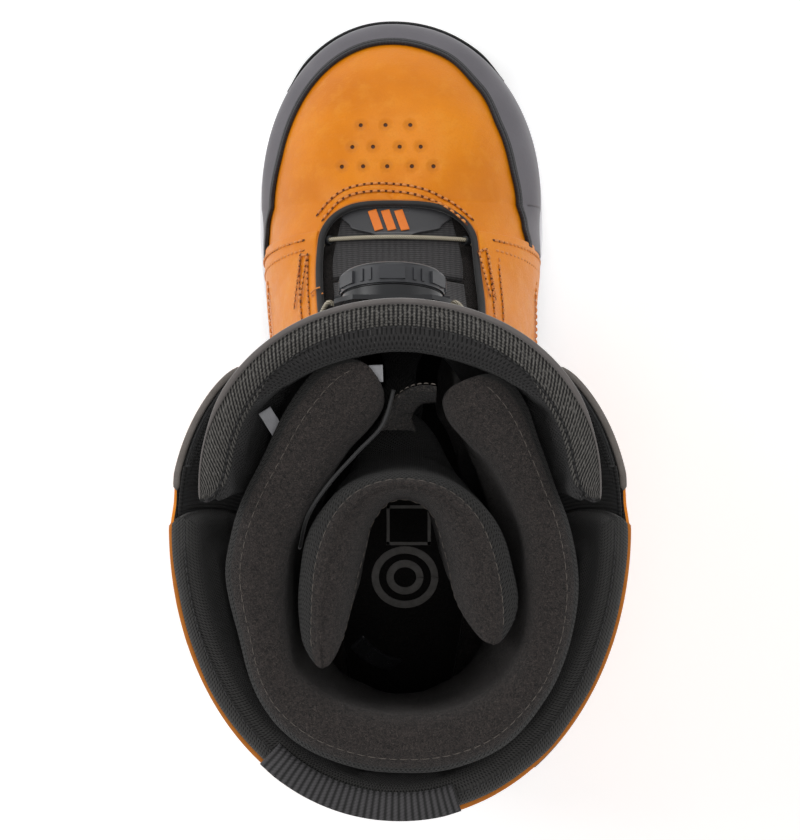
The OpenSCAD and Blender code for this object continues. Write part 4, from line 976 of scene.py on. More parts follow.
for side, word in ((-1, "medial"), (1, "lateral")):
    plate("quarter_leather_" + word, quarter_at(side),
          lambda a, b: np.where(a < 0.02, 0.15, -LEATHER * ease((a - 0.02) / 0.05)),
          lambda a, b: 0.15 + 1.25 * (1 - ease((a - 0.03) / 0.13)), 110, 84, ORANGE, r=1.0,
          bulge=creased, replaces=("quarter_" + word,), slot="leather_orange")
    flap, node = ("flap_m", "flap_medial") if side < 0 else ("flap_l", "flap_lateral")

    def flap_top(share):
        return mix(11.35, 13.0, np.sqrt(np.clip(share / HINGE_B * 1.25, 0, 1)))

    def lift(share, a):
        return 5.4 * np.clip(1 - share / HINGE_B, 0, 1) ** 1.3 * ease(a * 2.2)

    def shaft_at(a, b, side=side):
        top = np.where(b < HINGE_B, flap_top(b), mix(13.0, SHAFT_TOP, ease((b - HINGE_B) / 0.06)))
        k = mix(ankle_k(b) + 0.06, top, a)
        return side * (k + 1), round_u(k, b)

    hinge = np.array([-57.8, -40.6, 196.2]) if side < 0 else np.array([58.3, -40.6, 196.2])
    axis = np.array([-0.2040 if side < 0 else 0.2040, 0.1115, 0.9726])
    across = unit(np.array([0, 1, 0]) - 0.1115 * axis)
    span = (tuple((hinge - 8 * across) * MM), tuple((hinge + 8 * across) * MM))
    leather_shaft = plate("shaft_leather_" + word, shaft_at, lambda a, b: -1.7 + lift(b, a), lambda a, b: lift(b, a),
                          90, 120, ORANGE, r=0.7, bulge=creased, blend=("boot", flap) + span,
                          replaces=("shaft_" + word, node), slot="leather_orange")
    side_faces = (90 + EDGE_ROWS) * (120 + EDGE_ROWS)
    second_material(leather_shaft, LINING, side_faces, 2 * side_faces)

    def fold_at(a, b, side=side):
        share = mix(HINGE_B - 0.07, HINGE_B + 0.09, b)
        return side * (mix(ankle_k(share) + 0.6, 13.05, a) + 1), round_u(mix(ankle_k(share) + 0.6, 13.05, a), share)

    plate("hinge_lining_" + word, fold_at, -3.3, -1.9, 60, 22, LINING, r=0.6, blend=("boot", flap) + span)

    def lining_at(near, far, drop):
        def at(a, b, side=side):
            share = mix(near, far, b)
            top = flap_top(share) - drop
            k = mix(ankle_k(share) + 0.25, top, a)
            return side * (k + 1), round_u(k, share)
        return at

    for name, near, drop, lo, hi, mat in (("a", 0.006, 0.02, -2.75, -1.85, BLACK_EDGE),
                                          ("b", 0.0, 0.05, -3.6, -2.9, LINING),
                                          ("c", 0.012, 0.11, -4.7, -3.75, LINING)):
        plate(f"flap_lining_{name}_{word}", lining_at(near, HINGE_B - 0.03, drop),
              lambda a, b, lo=lo: np.maximum(lo + lift(mix(0.0, HINGE_B, b), a), -3.4),
              lambda a, b, hi=hi, lo=lo: np.maximum(hi + lift(mix(0.0, HINGE_B, b), a), -2.0 - (hi < -2.5) * 0.6),
              44, 26, mat, r=0.5, body=flap)

    # the raw grey edge of the flap leather, along its front edge and its rounded top
    line = np.linspace(0, 1, 60)
    free_k = mix(ankle_k(0.0) + 1.2, flap_top(0.0), line)
    top_share = np.linspace(0.004, HINGE_B * 0.92, 40)
    k_all = np.concatenate([free_k, flap_top(top_share)])
    share_all = np.concatenate([np.zeros(60), top_share])
    a_all = (k_all - ankle_k(share_all)) / (flap_top(share_all) - ankle_k(share_all))
    q_all, u_all = side * (k_all + 1), round_u(k_all, share_all)
    d_all = lift(share_all, a_all) - 0.8
    edge_path = skin(q_all, u_all, d_all)
    sweep("flap_raw_edge_" + word, edge_path, oval(0.95, 1.15, 12, 3), RAW, up=normal(q_all, u_all), taper=2.0,
          body=flap)

    # stitching: seam at the front of the quarter, along the throat, the sole line, the shaft and the flap
    t = np.linspace(0, 1, 90)
    rows = []
    for k0 in (1.17, 1.42):
        u0 = throat_u(k0) + 7
        rows.append(row(side * (k0 + 1), mix(u0, 118, t), 1.25 if k0 < 1.3 else 0.75))
    seam("seam_front_" + word, rows, THREAD, dark=HOLE_AND_SHADE, lift=0.14)
    k = np.linspace(1.55, 6.0, 120)
    seam("seam_throat_" + word, [row(side * (k + 1), throat_u(k) + off, 0.42) for off in (4.2, 9.4)],
         THREAD, dark=HOLE_AND_SHADE, lift=0.1)
    k = np.linspace(1.6, 6.8, 130)
    seam("seam_side_" + word, [row(side * (k + 1), 74 + 3 * np.sin(k * 0.9), 0.5)], THREAD, dark=HOLE_AND_SHADE, lift=0.1)
    share = np.linspace(0.03, 0.97, 110)
    seam("seam_ankle_" + word,
         [row(side * (ankle_k(share) + 1 - off), round_u(ankle_k(share) - off, share), 0.5) for off in (0.16, 0.42)],
         THREAD, dark=HOLE_AND_SHADE, lift=0.1)
    share = np.linspace(0.0, 1.0, 120)
    q, u = side * (ankle_k(share) + 1.03), round_u(ankle_k(share) + 0.03, share)
    sweep("ankle_welt_" + word, skin(q, u, -0.35), oval(1.35, 1.0, 14), ORANGE_EDGE, up=normal(q, u))
    share = np.linspace(HINGE_B + 0.06, 0.93, 90)
    seam("seam_collar_" + word, [row(side * (12.95 + 1), round_u(12.95, share), 0.45)],
         THREAD, dark=HOLE_AND_SHADE, lift=0.1)

# short stitched boxes at the foot of the eyestay, and the double arch of stitches round the throat
arch_a = [(-31.6, 72.6), (-25.8, 79.2), (-19.2, 82.8), (-10.2, 84.2), (-1.2, 84.0), (7.8, 82.4), (15.4, 79.4),
          (21.8, 75.6), (27.6, 70.6)]
arch_b = [(-29.4, 70.4), (-23.8, 77.0), (-18.6, 80.0), (-10.0, 81.2), (-1.2, 81.0), (7.4, 79.5), (14.4, 76.7),
          (20.0, 73.2), (25.2, 68.6)]
seam("seam_arch", [on_top(arch_a, 0.25, 16), on_top(arch_b, 0.25, 16)], THREAD, dark=HOLE_AND_SHADE, lift=0.12)
ridge, ridge_n = on_top([(x * 0.98, y - 1.5) for x, y in arch_a], -0.35, 12)
sweep("arch_ridge", ridge, oval(1.6, 0.75, 14), ORANGE, up=ridge_n, taper=6)
boxes = [[(-37.4, 56.4), (-38.4, 46), (-39.4, 36.4)], [(-34.8, 56.2), (-36.0, 47), (-37.0, 38.6)],
         [(-37.4, 56.4), (-34.8, 56.2)], [(29.4, 57.2), (31.4, 48.6), (33.4, 40.2)],
         [(32.4, 58.6), (34.0, 49), (35.4, 39.2)], [(29.4, 57.2), (32.4, 58.6)]]
seam("seam_boxes", [on_top(b, 1.0, 10) for b in boxes], THREAD, pitch=2.2, dark=HOLE_AND_SHADE, lift=0.1)

# padded black edge inside the throat
kk = np.concatenate([np.linspace(6.1, 0.25, 110), np.linspace(0.22, 0.0, 14)])
qq = np.concatenate([-(kk + 1), (kk + 1)[::-1][1:]])
uu = np.concatenate([throat_u(kk), throat_u(kk)[::-1][1:]])
base, base_n = bare(qq, np.maximum(uu, 0.4)), normal(qq, np.maximum(uu, 0.4))
for _ in range(6):
    base[1:-1] = (base[:-2] + 2 * base[1:-1] + base[2:]) / 4
    base_n[1:-1] = unit(base_n[:-2] + 2 * base_n[1:-1] + base_n[2:])
base_t = unit(np.gradient(base, axis=0))
inward = unit(np.cross(base_n, base_t))
inward *= np.sign((inward * (np.array([-2.0, 30.0, 110.0]) - base)).sum(-1))[:, None]
sweep("throat_binding", base + inward * 0.6 - base_n * 1.2, oval(1.35, 1.6, 16), BLACK_EDGE, up=base_n)
sweep("throat_leather_edge", base + inward * 0.1 - base_n * 0.55, oval(0.6, 1.0, 10, 3), ORANGE_EDGE, up=base_n)


def panel_back(k0, k1, half0, half1):
    def at(a, b):
        k = mix(k0, k1, a)
        return over_back(b, k, mix(half0, half1, a))
    return at


plate("heel_panel_skin", panel_back(6.75, 9.0, 46, 40), 0.12, 1.9, 50, 110, RAND, r=1.4,
      replaces=("heel_panel",), slot="rand_grey")
plate("backstay_skin", panel_back(9.06, 13, 15, 9), 0.12, 1.6, 70, 30, WEB, r=0.8,
      replaces=("backstay",), slot="trim_black")
t = np.linspace(0.04, 0.96, 80)
edge_rows = [row(*over_back(np.full(80, c), mix(9.06, 13, t), mix(15, 9, t)), 1.65) for c in (0.07, 0.93)]
edge_rows += [row(*over_back(np.full(80, c), mix(6.75, 9.0, t), mix(46, 40, t)), 1.95) for c in (0.03, 0.97)]
edge_rows += [row(*over_back(t, np.full(80, 8.88), np.full(80, 40.0)), 1.95)]
seam("seam_back", edge_rows, THREAD_DARK, lift=0.05)


def badge_at(a, b):
    return mix(11.6, 12.9, a) + 1, mix(122, 142, b) + 6 * (a - 0.5)


plate("ankle_badge_skin", badge_at, 0.15, 2.2, 30, 24, GLOSS, r=0.8, replaces=("ankle_badge",), slot="trim_black")
plate("ankle_badge_line", lambda a, b: (mix(11.8, 12.7, a) + 1, mix(130, 134, b) + 6 * (a - 0.5)), 2.1, 2.5, 30, 6,
      LABEL, r=0.3)
for lo, hi, mat, name in ((86, 89, BLACK_EDGE, "a"), (92, 95, BLACK_EDGE, "b")):
    plate("side_mark_" + name, lambda a, b, lo=lo, hi=hi: (mix(3.9, 4.6, a) + 1, mix(lo, hi, b)), 0.1,
          0.9, 30, 8, mat, r=0.4)

# ---------------------------------------------------------------- shaft collar


COLLAR_FROM, COLLAR_TO = 10.8, 13.44


def collar_k(a):
    return mix(COLLAR_FROM, COLLAR_TO, a)


def collar_at(a, b):
    c, k = mix(-1, 1, b), collar_k(a)
    return np.where(c < 0, -1, 1) * (k + 1), round_u(k, mix(1.0, HINGE_B + 0.015, np.abs(c)))


collar_depth = [[COLLAR_FROM, 4.5], [12, 9.5], [13, 10.5], [COLLAR_TO, 10]]
collar = plate("collar_padding", collar_at, lambda a, b: -2.0 - ramp(collar_depth, collar_k(a)), -1.9, 46, 190,
               COLLAR, r=4.6, soft=1.2,
               bulge=lambda a, b, p: 0.5 * lattice_noise(p, 16, 9), replaces=("collar_pad",), slot="textile_black")
c = np.linspace(-1, 1, 300)
share = mix(1.0, HINGE_B + 0.03, np.abs(c))
q, u = np.where(c < 0, -1, 1) * (SHAFT_TOP + 1.0), round_u(np.full(300, SHAFT_TOP), share)
sweep("collar_leather_edge", skin(q, u, -0.9), oval(0.85, 0.9, 12, 3), ORANGE_EDGE, up=normal(q, u), taper=2)
q2, u2 = np.where(c < 0, -1, 1) * (13.4 + 1.0), round_u(np.full(300, 13.4), share)
stitch_rows = [(skin(q2, u2, -6.6) + np.array([0, 0, 2.3]), np.tile([0.0, 0.0, 1.0], (300, 1)))]
seam("seam_collar_top", stitch_rows, THREAD_DARK, pitch=2.6, r=0.28)

# ---------------------------------------------------------------- tongue


def tongue_half(k):
    k = np.asarray(k, float)
    return ramp([[0, 24], [2, float(throat_u(2.0)) - 5], [6.4, float(throat_u(6.4)) - 4], [8.5, 60], [11, 78],
                 [13, 82]], k)


def tongue_out(k, c):
    v = np.abs(2 * c - 1)
    return ramp([[2, -4.2], [5, -2.6], [8, -0.6]], k) - ramp([[6, 0], [9, 7], [12, 13]], k) * v ** 1.4


def front_at(k0, k1, half, c0=0.0, c1=1.0):
    def at(a, b):
        k = mix(k0, k1, a)
        return over_front(mix(c0, c1, b), k, half(k, a))
    return at


plate("throat_gusset", front_at(0.15, TONGUE_SPLIT - 0.12, lambda k, a: tongue_half(k)), -7, -4.2, 50, 60, NYLON,
      r=1.0, replaces=("tongue_base",), slot="textile_black")
badge_half = [[0, 15], [0.35, 24], [0.7, 19], [1, 7]]
plate("throat_badge", front_at(0.12, 1.0, lambda k, a: ramp(badge_half, a)), -4.05, -3.0, 46, 60, GLOSS,
      r=1.2, bulge=lambda a, b, p: 0.35 * np.sin(np.pi * b), replaces=("tongue_badge",), slot="trim_black")
EMBLEM = plain("emblem_orange", "#E37B24", "#D06A17", 0.55, 0.5, 0.05, 3)
for name, x in (("a", -9.6), ("b", -4.4), ("c", 0.8)):
    p, n = on_top([(x - 1.4, 75.2), (x + 1.4, 67.4)], -2.3, 12)
    sweep("badge_bar_" + name, p, oval(1.7, 0.22, 12, 5), EMBLEM, up=n)


def body_at(a, b):
    k = mix(TONGUE_SPLIT, TONGUE_TOP, a)
    return over_front(b, k, tongue_half(k))


tongue_hinge = (( -0.0028, 0.054, 0.1175), (-0.0028, 0.030, 0.134))
plate("tongue_shell", body_at, lambda a, b: tongue_out(mix(TONGUE_SPLIT, TONGUE_TOP, a), b) - mix(2.8, 4, a),
      lambda a, b: tongue_out(mix(TONGUE_SPLIT, TONGUE_TOP, a), b), 130, 90, NYLON, r=1.2, body="tongue",
      replaces=("tongue_body",), slot="textile_black")
pad_rows = [[11.6, 5], [12.1, 8], [12.7, 10.5], [13.3, 11.5], [13.75, 11], [14, 9.5]]


PAD_FROM, PAD_TO = 11.3, 13.98


def pad_k(a):
    return mix(PAD_FROM, PAD_TO, a)


def pad_depth(a, b):
    """The padding thins towards the tongue's two edges."""
    thick = ramp(pad_rows, pad_k(a)) * (1 - 0.5 * ease(1.6 * np.abs(2 * b - 1) - 0.2))
    return tongue_out(pad_k(a), b) - 4.3 - thick


pad = plate("tongue_padding", front_at(PAD_FROM, PAD_TO, lambda k, a: tongue_half(k) - 1), pad_depth,
            lambda a, b: tongue_out(pad_k(a), b) - 4.1, 50, 120, MESH, r=4.0, soft=1.0,
            bulge=lambda a, b, p: 0.5 * lattice_noise(p, 14, 21), body="tongue", replaces=("tongue_pad",),
            slot="mesh_black")


def rim_grid(n_across, n_along, top, drop, width):
    """The rolled top edge of the tongue, from its outer binding inwards."""
    a, b = np.meshgrid(np.linspace(0, 1, n_across + 1), np.linspace(0, 1, n_along + 1), indexing="ij")
    k = np.full(a.shape, 14.0)
    q, u = over_front(mix(0.004, 0.996, b), k, tongue_half(k))
    end = np.minimum(1, np.minimum(b, 1 - b) * 12)
    swell = np.sqrt(1 - (1 - end) ** 2)
    d = tongue_out(k, b) - 0.4 - width * a * (0.12 + 0.88 * swell)
    p = skin(q, u, d)
    p[..., 2] += (top * np.sin(np.pi * np.clip(a, 0, 1)) ** 0.75 - drop * a ** 2) * swell
    return p


RIM_STEPS = 360
rim_out = rim_grid(18, RIM_STEPS, 1.9, 3.2, 9.6)
rim_in = rim_out - np.array([0, 0, 2.6])
finish_piece(shell("tongue_rim_band", rim_out, rim_in, BAND), body="tongue")
edge = rim_out[0]
edge_up = np.tile([0.0, 0.0, 1.0], (len(edge), 1))
fade = ease((np.minimum(np.linspace(0, 1, RIM_STEPS + 1), np.linspace(1, 0, RIM_STEPS + 1)) - 0.1) / 0.1)
sweep("tongue_top_binding", edge + np.array([0, 0, 0.2]), oval(1.0, 1.7, 14, 2.6), BINDING, up=edge_up, taper=2.5,
      scale=mix(0.3, 1, fade), body="tongue",
      replaces=("tongue_binding",), slot="binding_grey")
rim_line = rim_out[15] + np.array([0, 0, 0.1])
seam("seam_tongue_rim", [(rim_line, edge_up)], THREAD_DARK, "tongue", pitch=2.4, r=0.3, dark=HOLE_AND_SHADE_BLACK)


def label_face(depth):
    return lambda a, b: tongue_out(mix(10.4, 11.4, a), mix(0.36, 0.46, b)) - depth


plate("tongue_label_skin", front_at(10.4, 11.4, lambda k, a: tongue_half(k), 0.36, 0.46), label_face(5.4),
      label_face(4.6), 16, 12, LABEL, r=0.3, body="tongue",
      replaces=("tongue_label",), slot="label_white")

# ---------------------------------------------------------------- lace

TOE_CROSS_K, ANKLE_CROSS_K, FLAP_GUIDE_K, CHANNEL_D, LACE_R = 1.08, 4.6, 8.6, -4.6, 0.75
DIAL_AT = np.array([-2.6, 29.9, 200.0])
LEAN = np.radians(13)


def sk(q, u, d):
    return skin(np.array(float(q)), np.array(float(u)), float(d))


def lower_path(side):
    points = [sk(side * (TOE_CROSS_K + 1), max(c * (throat_u(TOE_CROSS_K) - 5), 0.01),
                 mix(-2.9, -3.1, c)) for c in np.arange(0, 1.01, 0.2)]
    points.append(sk(side * (TOE_CROSS_K + 1), throat_u(TOE_CROSS_K) - 0.5, -4.3))
    points += [sk(side * (k + 1), throat_u(k) + 5, CHANNEL_D) for k in np.arange(1.45, 4.21, 0.45)]
    points.append(sk(side * (ANKLE_CROSS_K + 1), throat_u(ANKLE_CROSS_K) + 1.4, -4.3))
    return points


def port(side, out):
    return np.array([DIAL_AT[0] + side * out, DIAL_AT[1] + 3.9 * np.cos(LEAN), DIAL_AT[2] - 3.9 * np.sin(LEAN)])


def guide_turn(side, angle):
    a = np.radians(angle)
    return sk(side * (FLAP_GUIDE_K - 0.28 * np.cos(a) + 1), throat_u(FLAP_GUIDE_K) - 4.5 + 3.6 * np.sin(a), 7.7)


def upper_path(side):
    points = [sk(side * (ANKLE_CROSS_K + 1), throat_u(ANKLE_CROSS_K) - 2.4, -1.2)]
    for t in np.arange(0.15, 0.861, 0.14):
        v = mix(-throat_u(ANKLE_CROSS_K) + 3, throat_u(FLAP_GUIDE_K) - 10, t)
        k = mix(ANKLE_CROSS_K, FLAP_GUIDE_K - 0.4, t)
        high = 1.6 + 3.4 * t + (2.2 if side > 0 else 0) * np.sin(np.pi * t)
        points.append(sk((side if v < 0 else -side) * (k + 1), max(abs(v), 0.01), high))
    points += [guide_turn(-side, a) for a in (-45, 0, 30, 60, 90, 120, 150, 180, 225)]
    points.append(mix(guide_turn(-side, 225), port(-side, 23), 0.5))
    return points + [port(-side, 23), port(-side, 20), port(-side, 15)]


tongue_blend = ("boot", "tongue") + tongue_hinge
for word, path, blend in (("lower", lower_path(-1)[:0:-1] + lower_path(1), None),
                          ("medial", upper_path(-1), tongue_blend), ("lateral", upper_path(1), tongue_blend)):
    sweep(f"lace_{word}_skin", through(path, 6), oval(LACE_R * 1.06, LACE_R * 1.06, 12), LACE, blend=blend,
          replaces=("lace_" + word,), slot="lace_beige")

# ---------------------------------------------------------------- liner


def tuck(u):
    return 1 - ease((u - 84) / 24)


def liner_out(k, u):
    return -mix(ramp([[3, 5.4], [7, 5.4], [9, 7], [10.6, 8.5], [12, 13.4], [12.8, 15.2], [14, 15.6]], k),
                ramp([[3, 8], [6, 8.6], [9, 14], [11, 20], [12, 30], [14, 32]], k)
                - 7 * (1 - ease((u - 35) / 45)) * ease((k - 10.5) / 1.5), tuck(u))


def liner_in(k, u):
    back = ramp([[3, 5], [7.5, 5.5], [9, 12], [10, 19], [11, 24], [12, 23], [13, 20], [14, 19]],
                k) * (0.65 + 0.35 * ease((u - 120) / 40))
    return liner_out(k, u) - mix(back, ramp([[3, 4.5], [10, 9], [14, 10]], k), tuck(u))


def cuff_u(c, k):
    return np.where(c > 0, ramp([[3, 30], [8, 32], [12, 40], [14.4, 36]], k),
                    ramp([[3, 30], [8, 32], [12, 26], [14.4, 20]], k))


def along(points, t):
    """A point along a list of points, from its first (0) to its last (1)."""
    p = np.asarray(points, float)
    last = len(p) - 1
    x = np.clip(t, 0, 1) * last
    i = np.minimum(np.floor(x), last - 1).astype(int)
    f = (x - i)[..., None]
    return curve(p[np.maximum(i - 1, 0)], p[i], p[i + 1], p[np.minimum(i + 2, last)], f)


def to_plan(low, points, k, t, start, top):
    """Leaves the shell's shape for a plan of its own towards the top."""
    p, s = along(points, t), station(k)
    x = p[..., 0] * s[..., 5] / station(np.array(top))[5]
    z = mix(s[..., 3], s[..., 1], (p[..., 1] - s[..., 2]) / (s[..., 0] - s[..., 2]))
    return mix(low, np.stack([x, p[..., 1], z], -1), ease((k - start) / (top - start))[..., None])


def soft_slab(outer, inner, a, b, r, swell=0.0, seed=1):
    """Rounds the edges of the foam between two faces, and puffs its faces a little."""
    la, lb = path_length(outer[:, outer.shape[1] // 2]), path_length(outer[outer.shape[0] // 2])
    edge = np.minimum(np.minimum(a, 1 - a) * la, np.minimum(b, 1 - b) * lb) / r
    f = 0.06 + 0.94 * np.sqrt(1 - (1 - np.clip(edge, 0, 1)) ** 2)
    mid = (outer + inner) / 2
    half = (outer - inner) / 2
    thick = np.linalg.norm(half, axis=-1)
    puffed = 1 + (swell * lattice_noise(mid, 22, seed)
                  + 0.5 * swell * lattice_noise(mid, 9, seed + 1)) / np.maximum(thick, 1)
    scale = (f * puffed)[..., None]
    return mid + half * scale, mid - half * scale


CUFF_OUTER = [(-12, 13), (-21, 13), (-28, 9), (-36, -2), (-43, -16), (-50, -30), (-54.5, -44), (-56, -58),
              (-52, -76), (-45.5, -96), (-34, -109), (-18, -116.5), (0, -119.5), (18.5, -117.5), (35, -109.5),
              (47.5, -94.5), (54, -80), (57, -66), (57, -54), (54, -39), (49, -26), (44.5, -13), (40, -1.5),
              (33.5, 6.5), (25.5, 8.5)]
CUFF_INNER = [(-5, 5), (-4.5, -2), (-8, -8), (-15.5, -15.5), (-23.5, -26), (-30, -37), (-34.6, -47.5), (-36, -58),
              (-36, -71), (-33, -86), (-22, -95), (-11, -99), (0, -100), (12, -99.5), (23, -96), (34, -87.5),
              (39, -77), (40.5, -66), (40.2, -56), (38.8, -44), (34.5, -32), (28.5, -21.5), (21.5, -14), (15, -6),
              (12.6, 2.5)]
CUFF_TOP = 13.8


def cuff_point(k, b, inside):
    c = mix(-1, 1, b)
    u = mix(180, cuff_u(c, k), np.abs(c))
    q = np.where(c < 0, -1.0, 1.0) * (k + 1)
    return to_plan(skin(q, u, liner_in(k, u) if inside else liner_out(k, u)), CUFF_INNER if inside else CUFF_OUTER,
                   k, b, 9.5, 13.7)


def slab_grid(na, nb, la, lb, r):
    """Grid lines of a foam slab, closest together where its edges are rounded."""
    e = np.array([0, 0.012, 0.05, 0.11, 0.19, 0.29, 0.42, 0.57, 0.78]) * r
    rows = [np.unique(np.concatenate([e / size, np.linspace(r / size, 1 - r / size, n + 1),
                                      1 - e / size])) for n, size in ((na, la), (nb, lb))]
    return np.meshgrid(*rows, indexing="ij")


a, b = slab_grid(110, 240, 230, 420, 9)
k = mix(LINER_SPLIT + 0.05, CUFF_TOP, a)
cuff_out, cuff_in = soft_slab(cuff_point(k, b, False), cuff_point(k, b, True), a, b, 9, 0.45, 31)
cuff_out, cuff_in = inflate(cuff_out, cuff_in, a, b, shares=(0.0, 0.4))
cuff = shell("liner_cuff_soft", cuff_out, cuff_in, MESH_DARK)
second_material(cuff, FLEECE, (a.shape[0] - 5) * (a.shape[1] - 1))
finish_piece(cuff, replaces=("liner_cuff",), slot="fleece")


def liner_tongue_out(k, c):
    return ramp([[3.6, -14.6], [6, -19], [9, -31], [12, -44], [14.5, -47]],
                k) + ramp([[9, 0], [14, 4]], k) * np.abs(2 * c - 1) ** 2


LT_OUTER = [(-29.5, -84.5), (-32.5, -77), (-33, -68), (-32.4, -56), (-30, -45), (-25.5, -35.5), (-18.5, -28),
            (-9.5, -23.6), (1, -22), (11.5, -23.6), (20.5, -28), (28, -35), (33, -43.5), (36.5, -54), (38, -63),
            (37.8, -70.5), (35.5, -77)]
LT_INNER = [(-18, -85), (-16, -77), (-14.5, -66), (-13, -57), (-11.5, -49), (-9.5, -42), (-6.5, -36), (-3, -32.8),
            (1, -32), (5, -32.6), (9, -35), (12, -39.5), (14, -46), (15.2, -54), (16.3, -62), (18.3, -70),
            (21.5, -77.5)]


def lt_point(k, b, inside):
    q, u = over_front(b, k, ramp([[3.9, 22], [8, 40], [12, 104], [14, 122]], k))
    depth = liner_tongue_out(k, b) - (ramp([[3.9, 5], [9, 8], [12, 12], [14.4, 13]], k) if inside else 0)
    return to_plan(skin(q, u, depth), LT_INNER if inside else LT_OUTER, k, b, 9, 13.8)


a, b = slab_grid(90, 170, 200, 190, 7)
k = mix(3.9, 13.9, a)
lt_out, lt_in = soft_slab(lt_point(k, b, False), lt_point(k, b, True), a, b, 7, 0.6, 41)
lt_out, lt_in = inflate(lt_out, lt_in, a, b, count=(30, 40))
inner_tongue = shell("liner_tongue_soft", lt_out, lt_in, MESH_DARK)
second_material(inner_tongue, FLEECE, (a.shape[0] - 4) * (a.shape[1] - 1))
finish_piece(inner_tongue, body="inner_tongue", replaces=("liner_tongue",), slot="fleece")


def toe_ring(y, inset):
    t = (y - POLE_Y) / TOE_LENGTH
    share = (1 - t ** TOE_OUTLINE_N) ** (1 / TOE_OUTLINE_N)
    arch = (1 - t ** TOE_PROFILE_N) ** (1 / TOE_PROFILE_N)
    high = LOW_Z + (TOE_HEIGHT - LOW_Z) * arch - TOE_SAG * np.sqrt(t) * (1 - t) - inset
    low = FLOOR_Z + 2.8 + (inset - 5.4) + 12 * t ** 5
    mid = mix(low, high, 0.35)
    v = np.radians(np.arange(0, 360, 5))
    n = np.where(np.cos(v) < -1e-9, 3.2, 2.1)
    side = np.where(np.sin(v) < 0, -1.0, 1.0)
    w = np.where(side > 0, STATIONS[0, 5], STATIONS[0, 4]) * share - inset - 0.4
    up = spow(np.cos(v), 2 / n)
    x = POLE_X + side * w * np.abs(np.sin(v)) ** (2 / n)
    return np.stack([x, np.full(v.shape, y), mid + np.where(up < 0, mid - low, high - mid) * up], -1)


def body_ring(k, d):
    v = np.arange(0, 360, 5.0)
    u = np.where(v > 180, 360 - v, v)
    return skin(np.where(v > 180, -1, 1) * (k + 1), np.clip(u, 0.01, 179.9), -d - 2.8 * (1 - ease((u - 36) / 26)))


sock = [toe_ring(y, 7 if y < 90 else 5.6) for y in (137.5, 133, 125, 113, 99, 84)]
sock += [body_ring(k, 5.4) for k in np.arange(0.5, 3.01, 0.31)]
sock += [body_ring(k, 10.2) for k in np.arange(2.98, 0.49, -0.31)]
sock += [toe_ring(y, 12 if y < 90 else 10.6) for y in (84, 99, 114, 124, 131)]
ring_wall("liner_sock", sock, FLEECE, replaces=("liner_foot",), slot="fleece")

insole = at_height(outline(46, -17.2, -2.5), 43.6, 0)
strip_cap("footbed_top", insole, FELT, replaces=("footbed",))
under_edge = [at_height(outline(46, d, -2.5), z, 0) for d, z in ((-16.8, 42.6), (-17.6, 41.2), (-20, 40.2))]
ring_wall("footbed_edge", [insole] + under_edge, BLACK_EDGE)


def flat_patch(name, x, y, z, w, l, turn, mat, thick=0.5, curl=0.0, **finish):
    """A thin label, slightly curled."""
    i, j = np.meshgrid(np.linspace(-1, 1, 9), np.linspace(-1, 1, 9), indexing="ij")
    r = np.radians(turn)
    px, py = i * w / 2, j * l / 2
    pts = np.stack([x + px * np.cos(r) - py * np.sin(r), y + px * np.sin(r) + py * np.cos(r),
                    z + curl * (i ** 2 + j ** 2)], -1)
    return finish_piece(shell(name, pts + [0, 0, thick], pts, mat), **finish)


for name, x, y, w, l in (("a", 3.5, -41.6, 18, 1.3), ("b", 3.5, -56.4, 18, 1.3), ("c", -4.8, -49, 1.3, 16),
                         ("d", 11.8, -49, 1.3, 16)):
    flat_patch("footbed_mark_" + name, x, y, 43.9, w, l, 0, MARK, thick=0.25)
turn = np.linspace(0, 2 * np.pi, 49)
for name, rx, ry in (("outer", 12.0, 11.0), ("inner", 6.0, 5.5)):
    sweep("footbed_ring_" + name, np.stack([2 + rx * np.cos(turn), -70 + ry * np.sin(turn), np.full(49, 44.0)], -1),
          oval(1.5, 0.2, 10, 4), MARK,
          up=np.tile([0.0, 0.0, 1.0], (49, 1)))

strap = np.array([[11.5, 2, 287], [7, 2, 286], [3, 0, 284], [0, -4, 281], [-1, -9, 277]], float)
strap_w = np.array([[0, 3, 12], [0, 4, 11], [-3, 5, 10], [-7, 4, 8], [-12, 0, 5]], float)
path, wide = through(strap, 14), through(strap_w, 14)
b = np.linspace(-0.5, 0.5, 15)
domed = np.sqrt(np.clip(1 - (2 * b) ** 4, 0.05, 1))[None, :, None]
front = path[:, None] + wide[:, None] * b[None, :, None] + np.array([0, 1.1, 0]) * domed
back = front - np.array([0, 1.9, 0.7])
finish_piece(shell("liner_strap_soft", front, back, LOOPS), replaces=("liner_strap",), slot="fleece")
facing = np.tile([0.0, 1.0, 0.3], (len(path), 1))
seam("liner_strap_seam", [(front[:, i] + [0, 0.35, 0], facing) for i in (1, -2)],
     THREAD_PALE, pitch=2.2, r=0.25)
ribbon = through([[-15, -82, 214], [-12, -86, 205], [-7, -90, 197], [-2, -92, 190]], 10)
tilt = np.linspace(-1, 1, 9)[None, :, None] * np.array([2.2, 2.2, 3.2])
face = ribbon[:, None] + tilt
finish_piece(shell("liner_ribbon_skin", face, face + np.array([0.7, -0.9, 0]), RIBBON), replaces=("liner_ribbon",),
             slot="trim_black")

# light seam lines on the liner's faces, each a row of the slab's own grid
def slab_row(face, other, i, lift=0.0):
    line = face[i]
    n = unit(face[i] - other[i])
    return line + n * lift, n


cols = slice(12, -12)
for name, face, other, i, body in (("cuff", cuff_out, cuff_in, -3, "boot"),
                                   ("tongue", lt_in, lt_out, -11, "inner_tongue"),
                                   ("tongue_edge", lt_out, lt_in, -4, "inner_tongue")):
    p, n = slab_row(face, other, i)
    seam(f"liner_{name}_seam", [(p[cols], n[cols])], THREAD_PALE, body, pitch=3.4, r=0.15, lift=0.0)

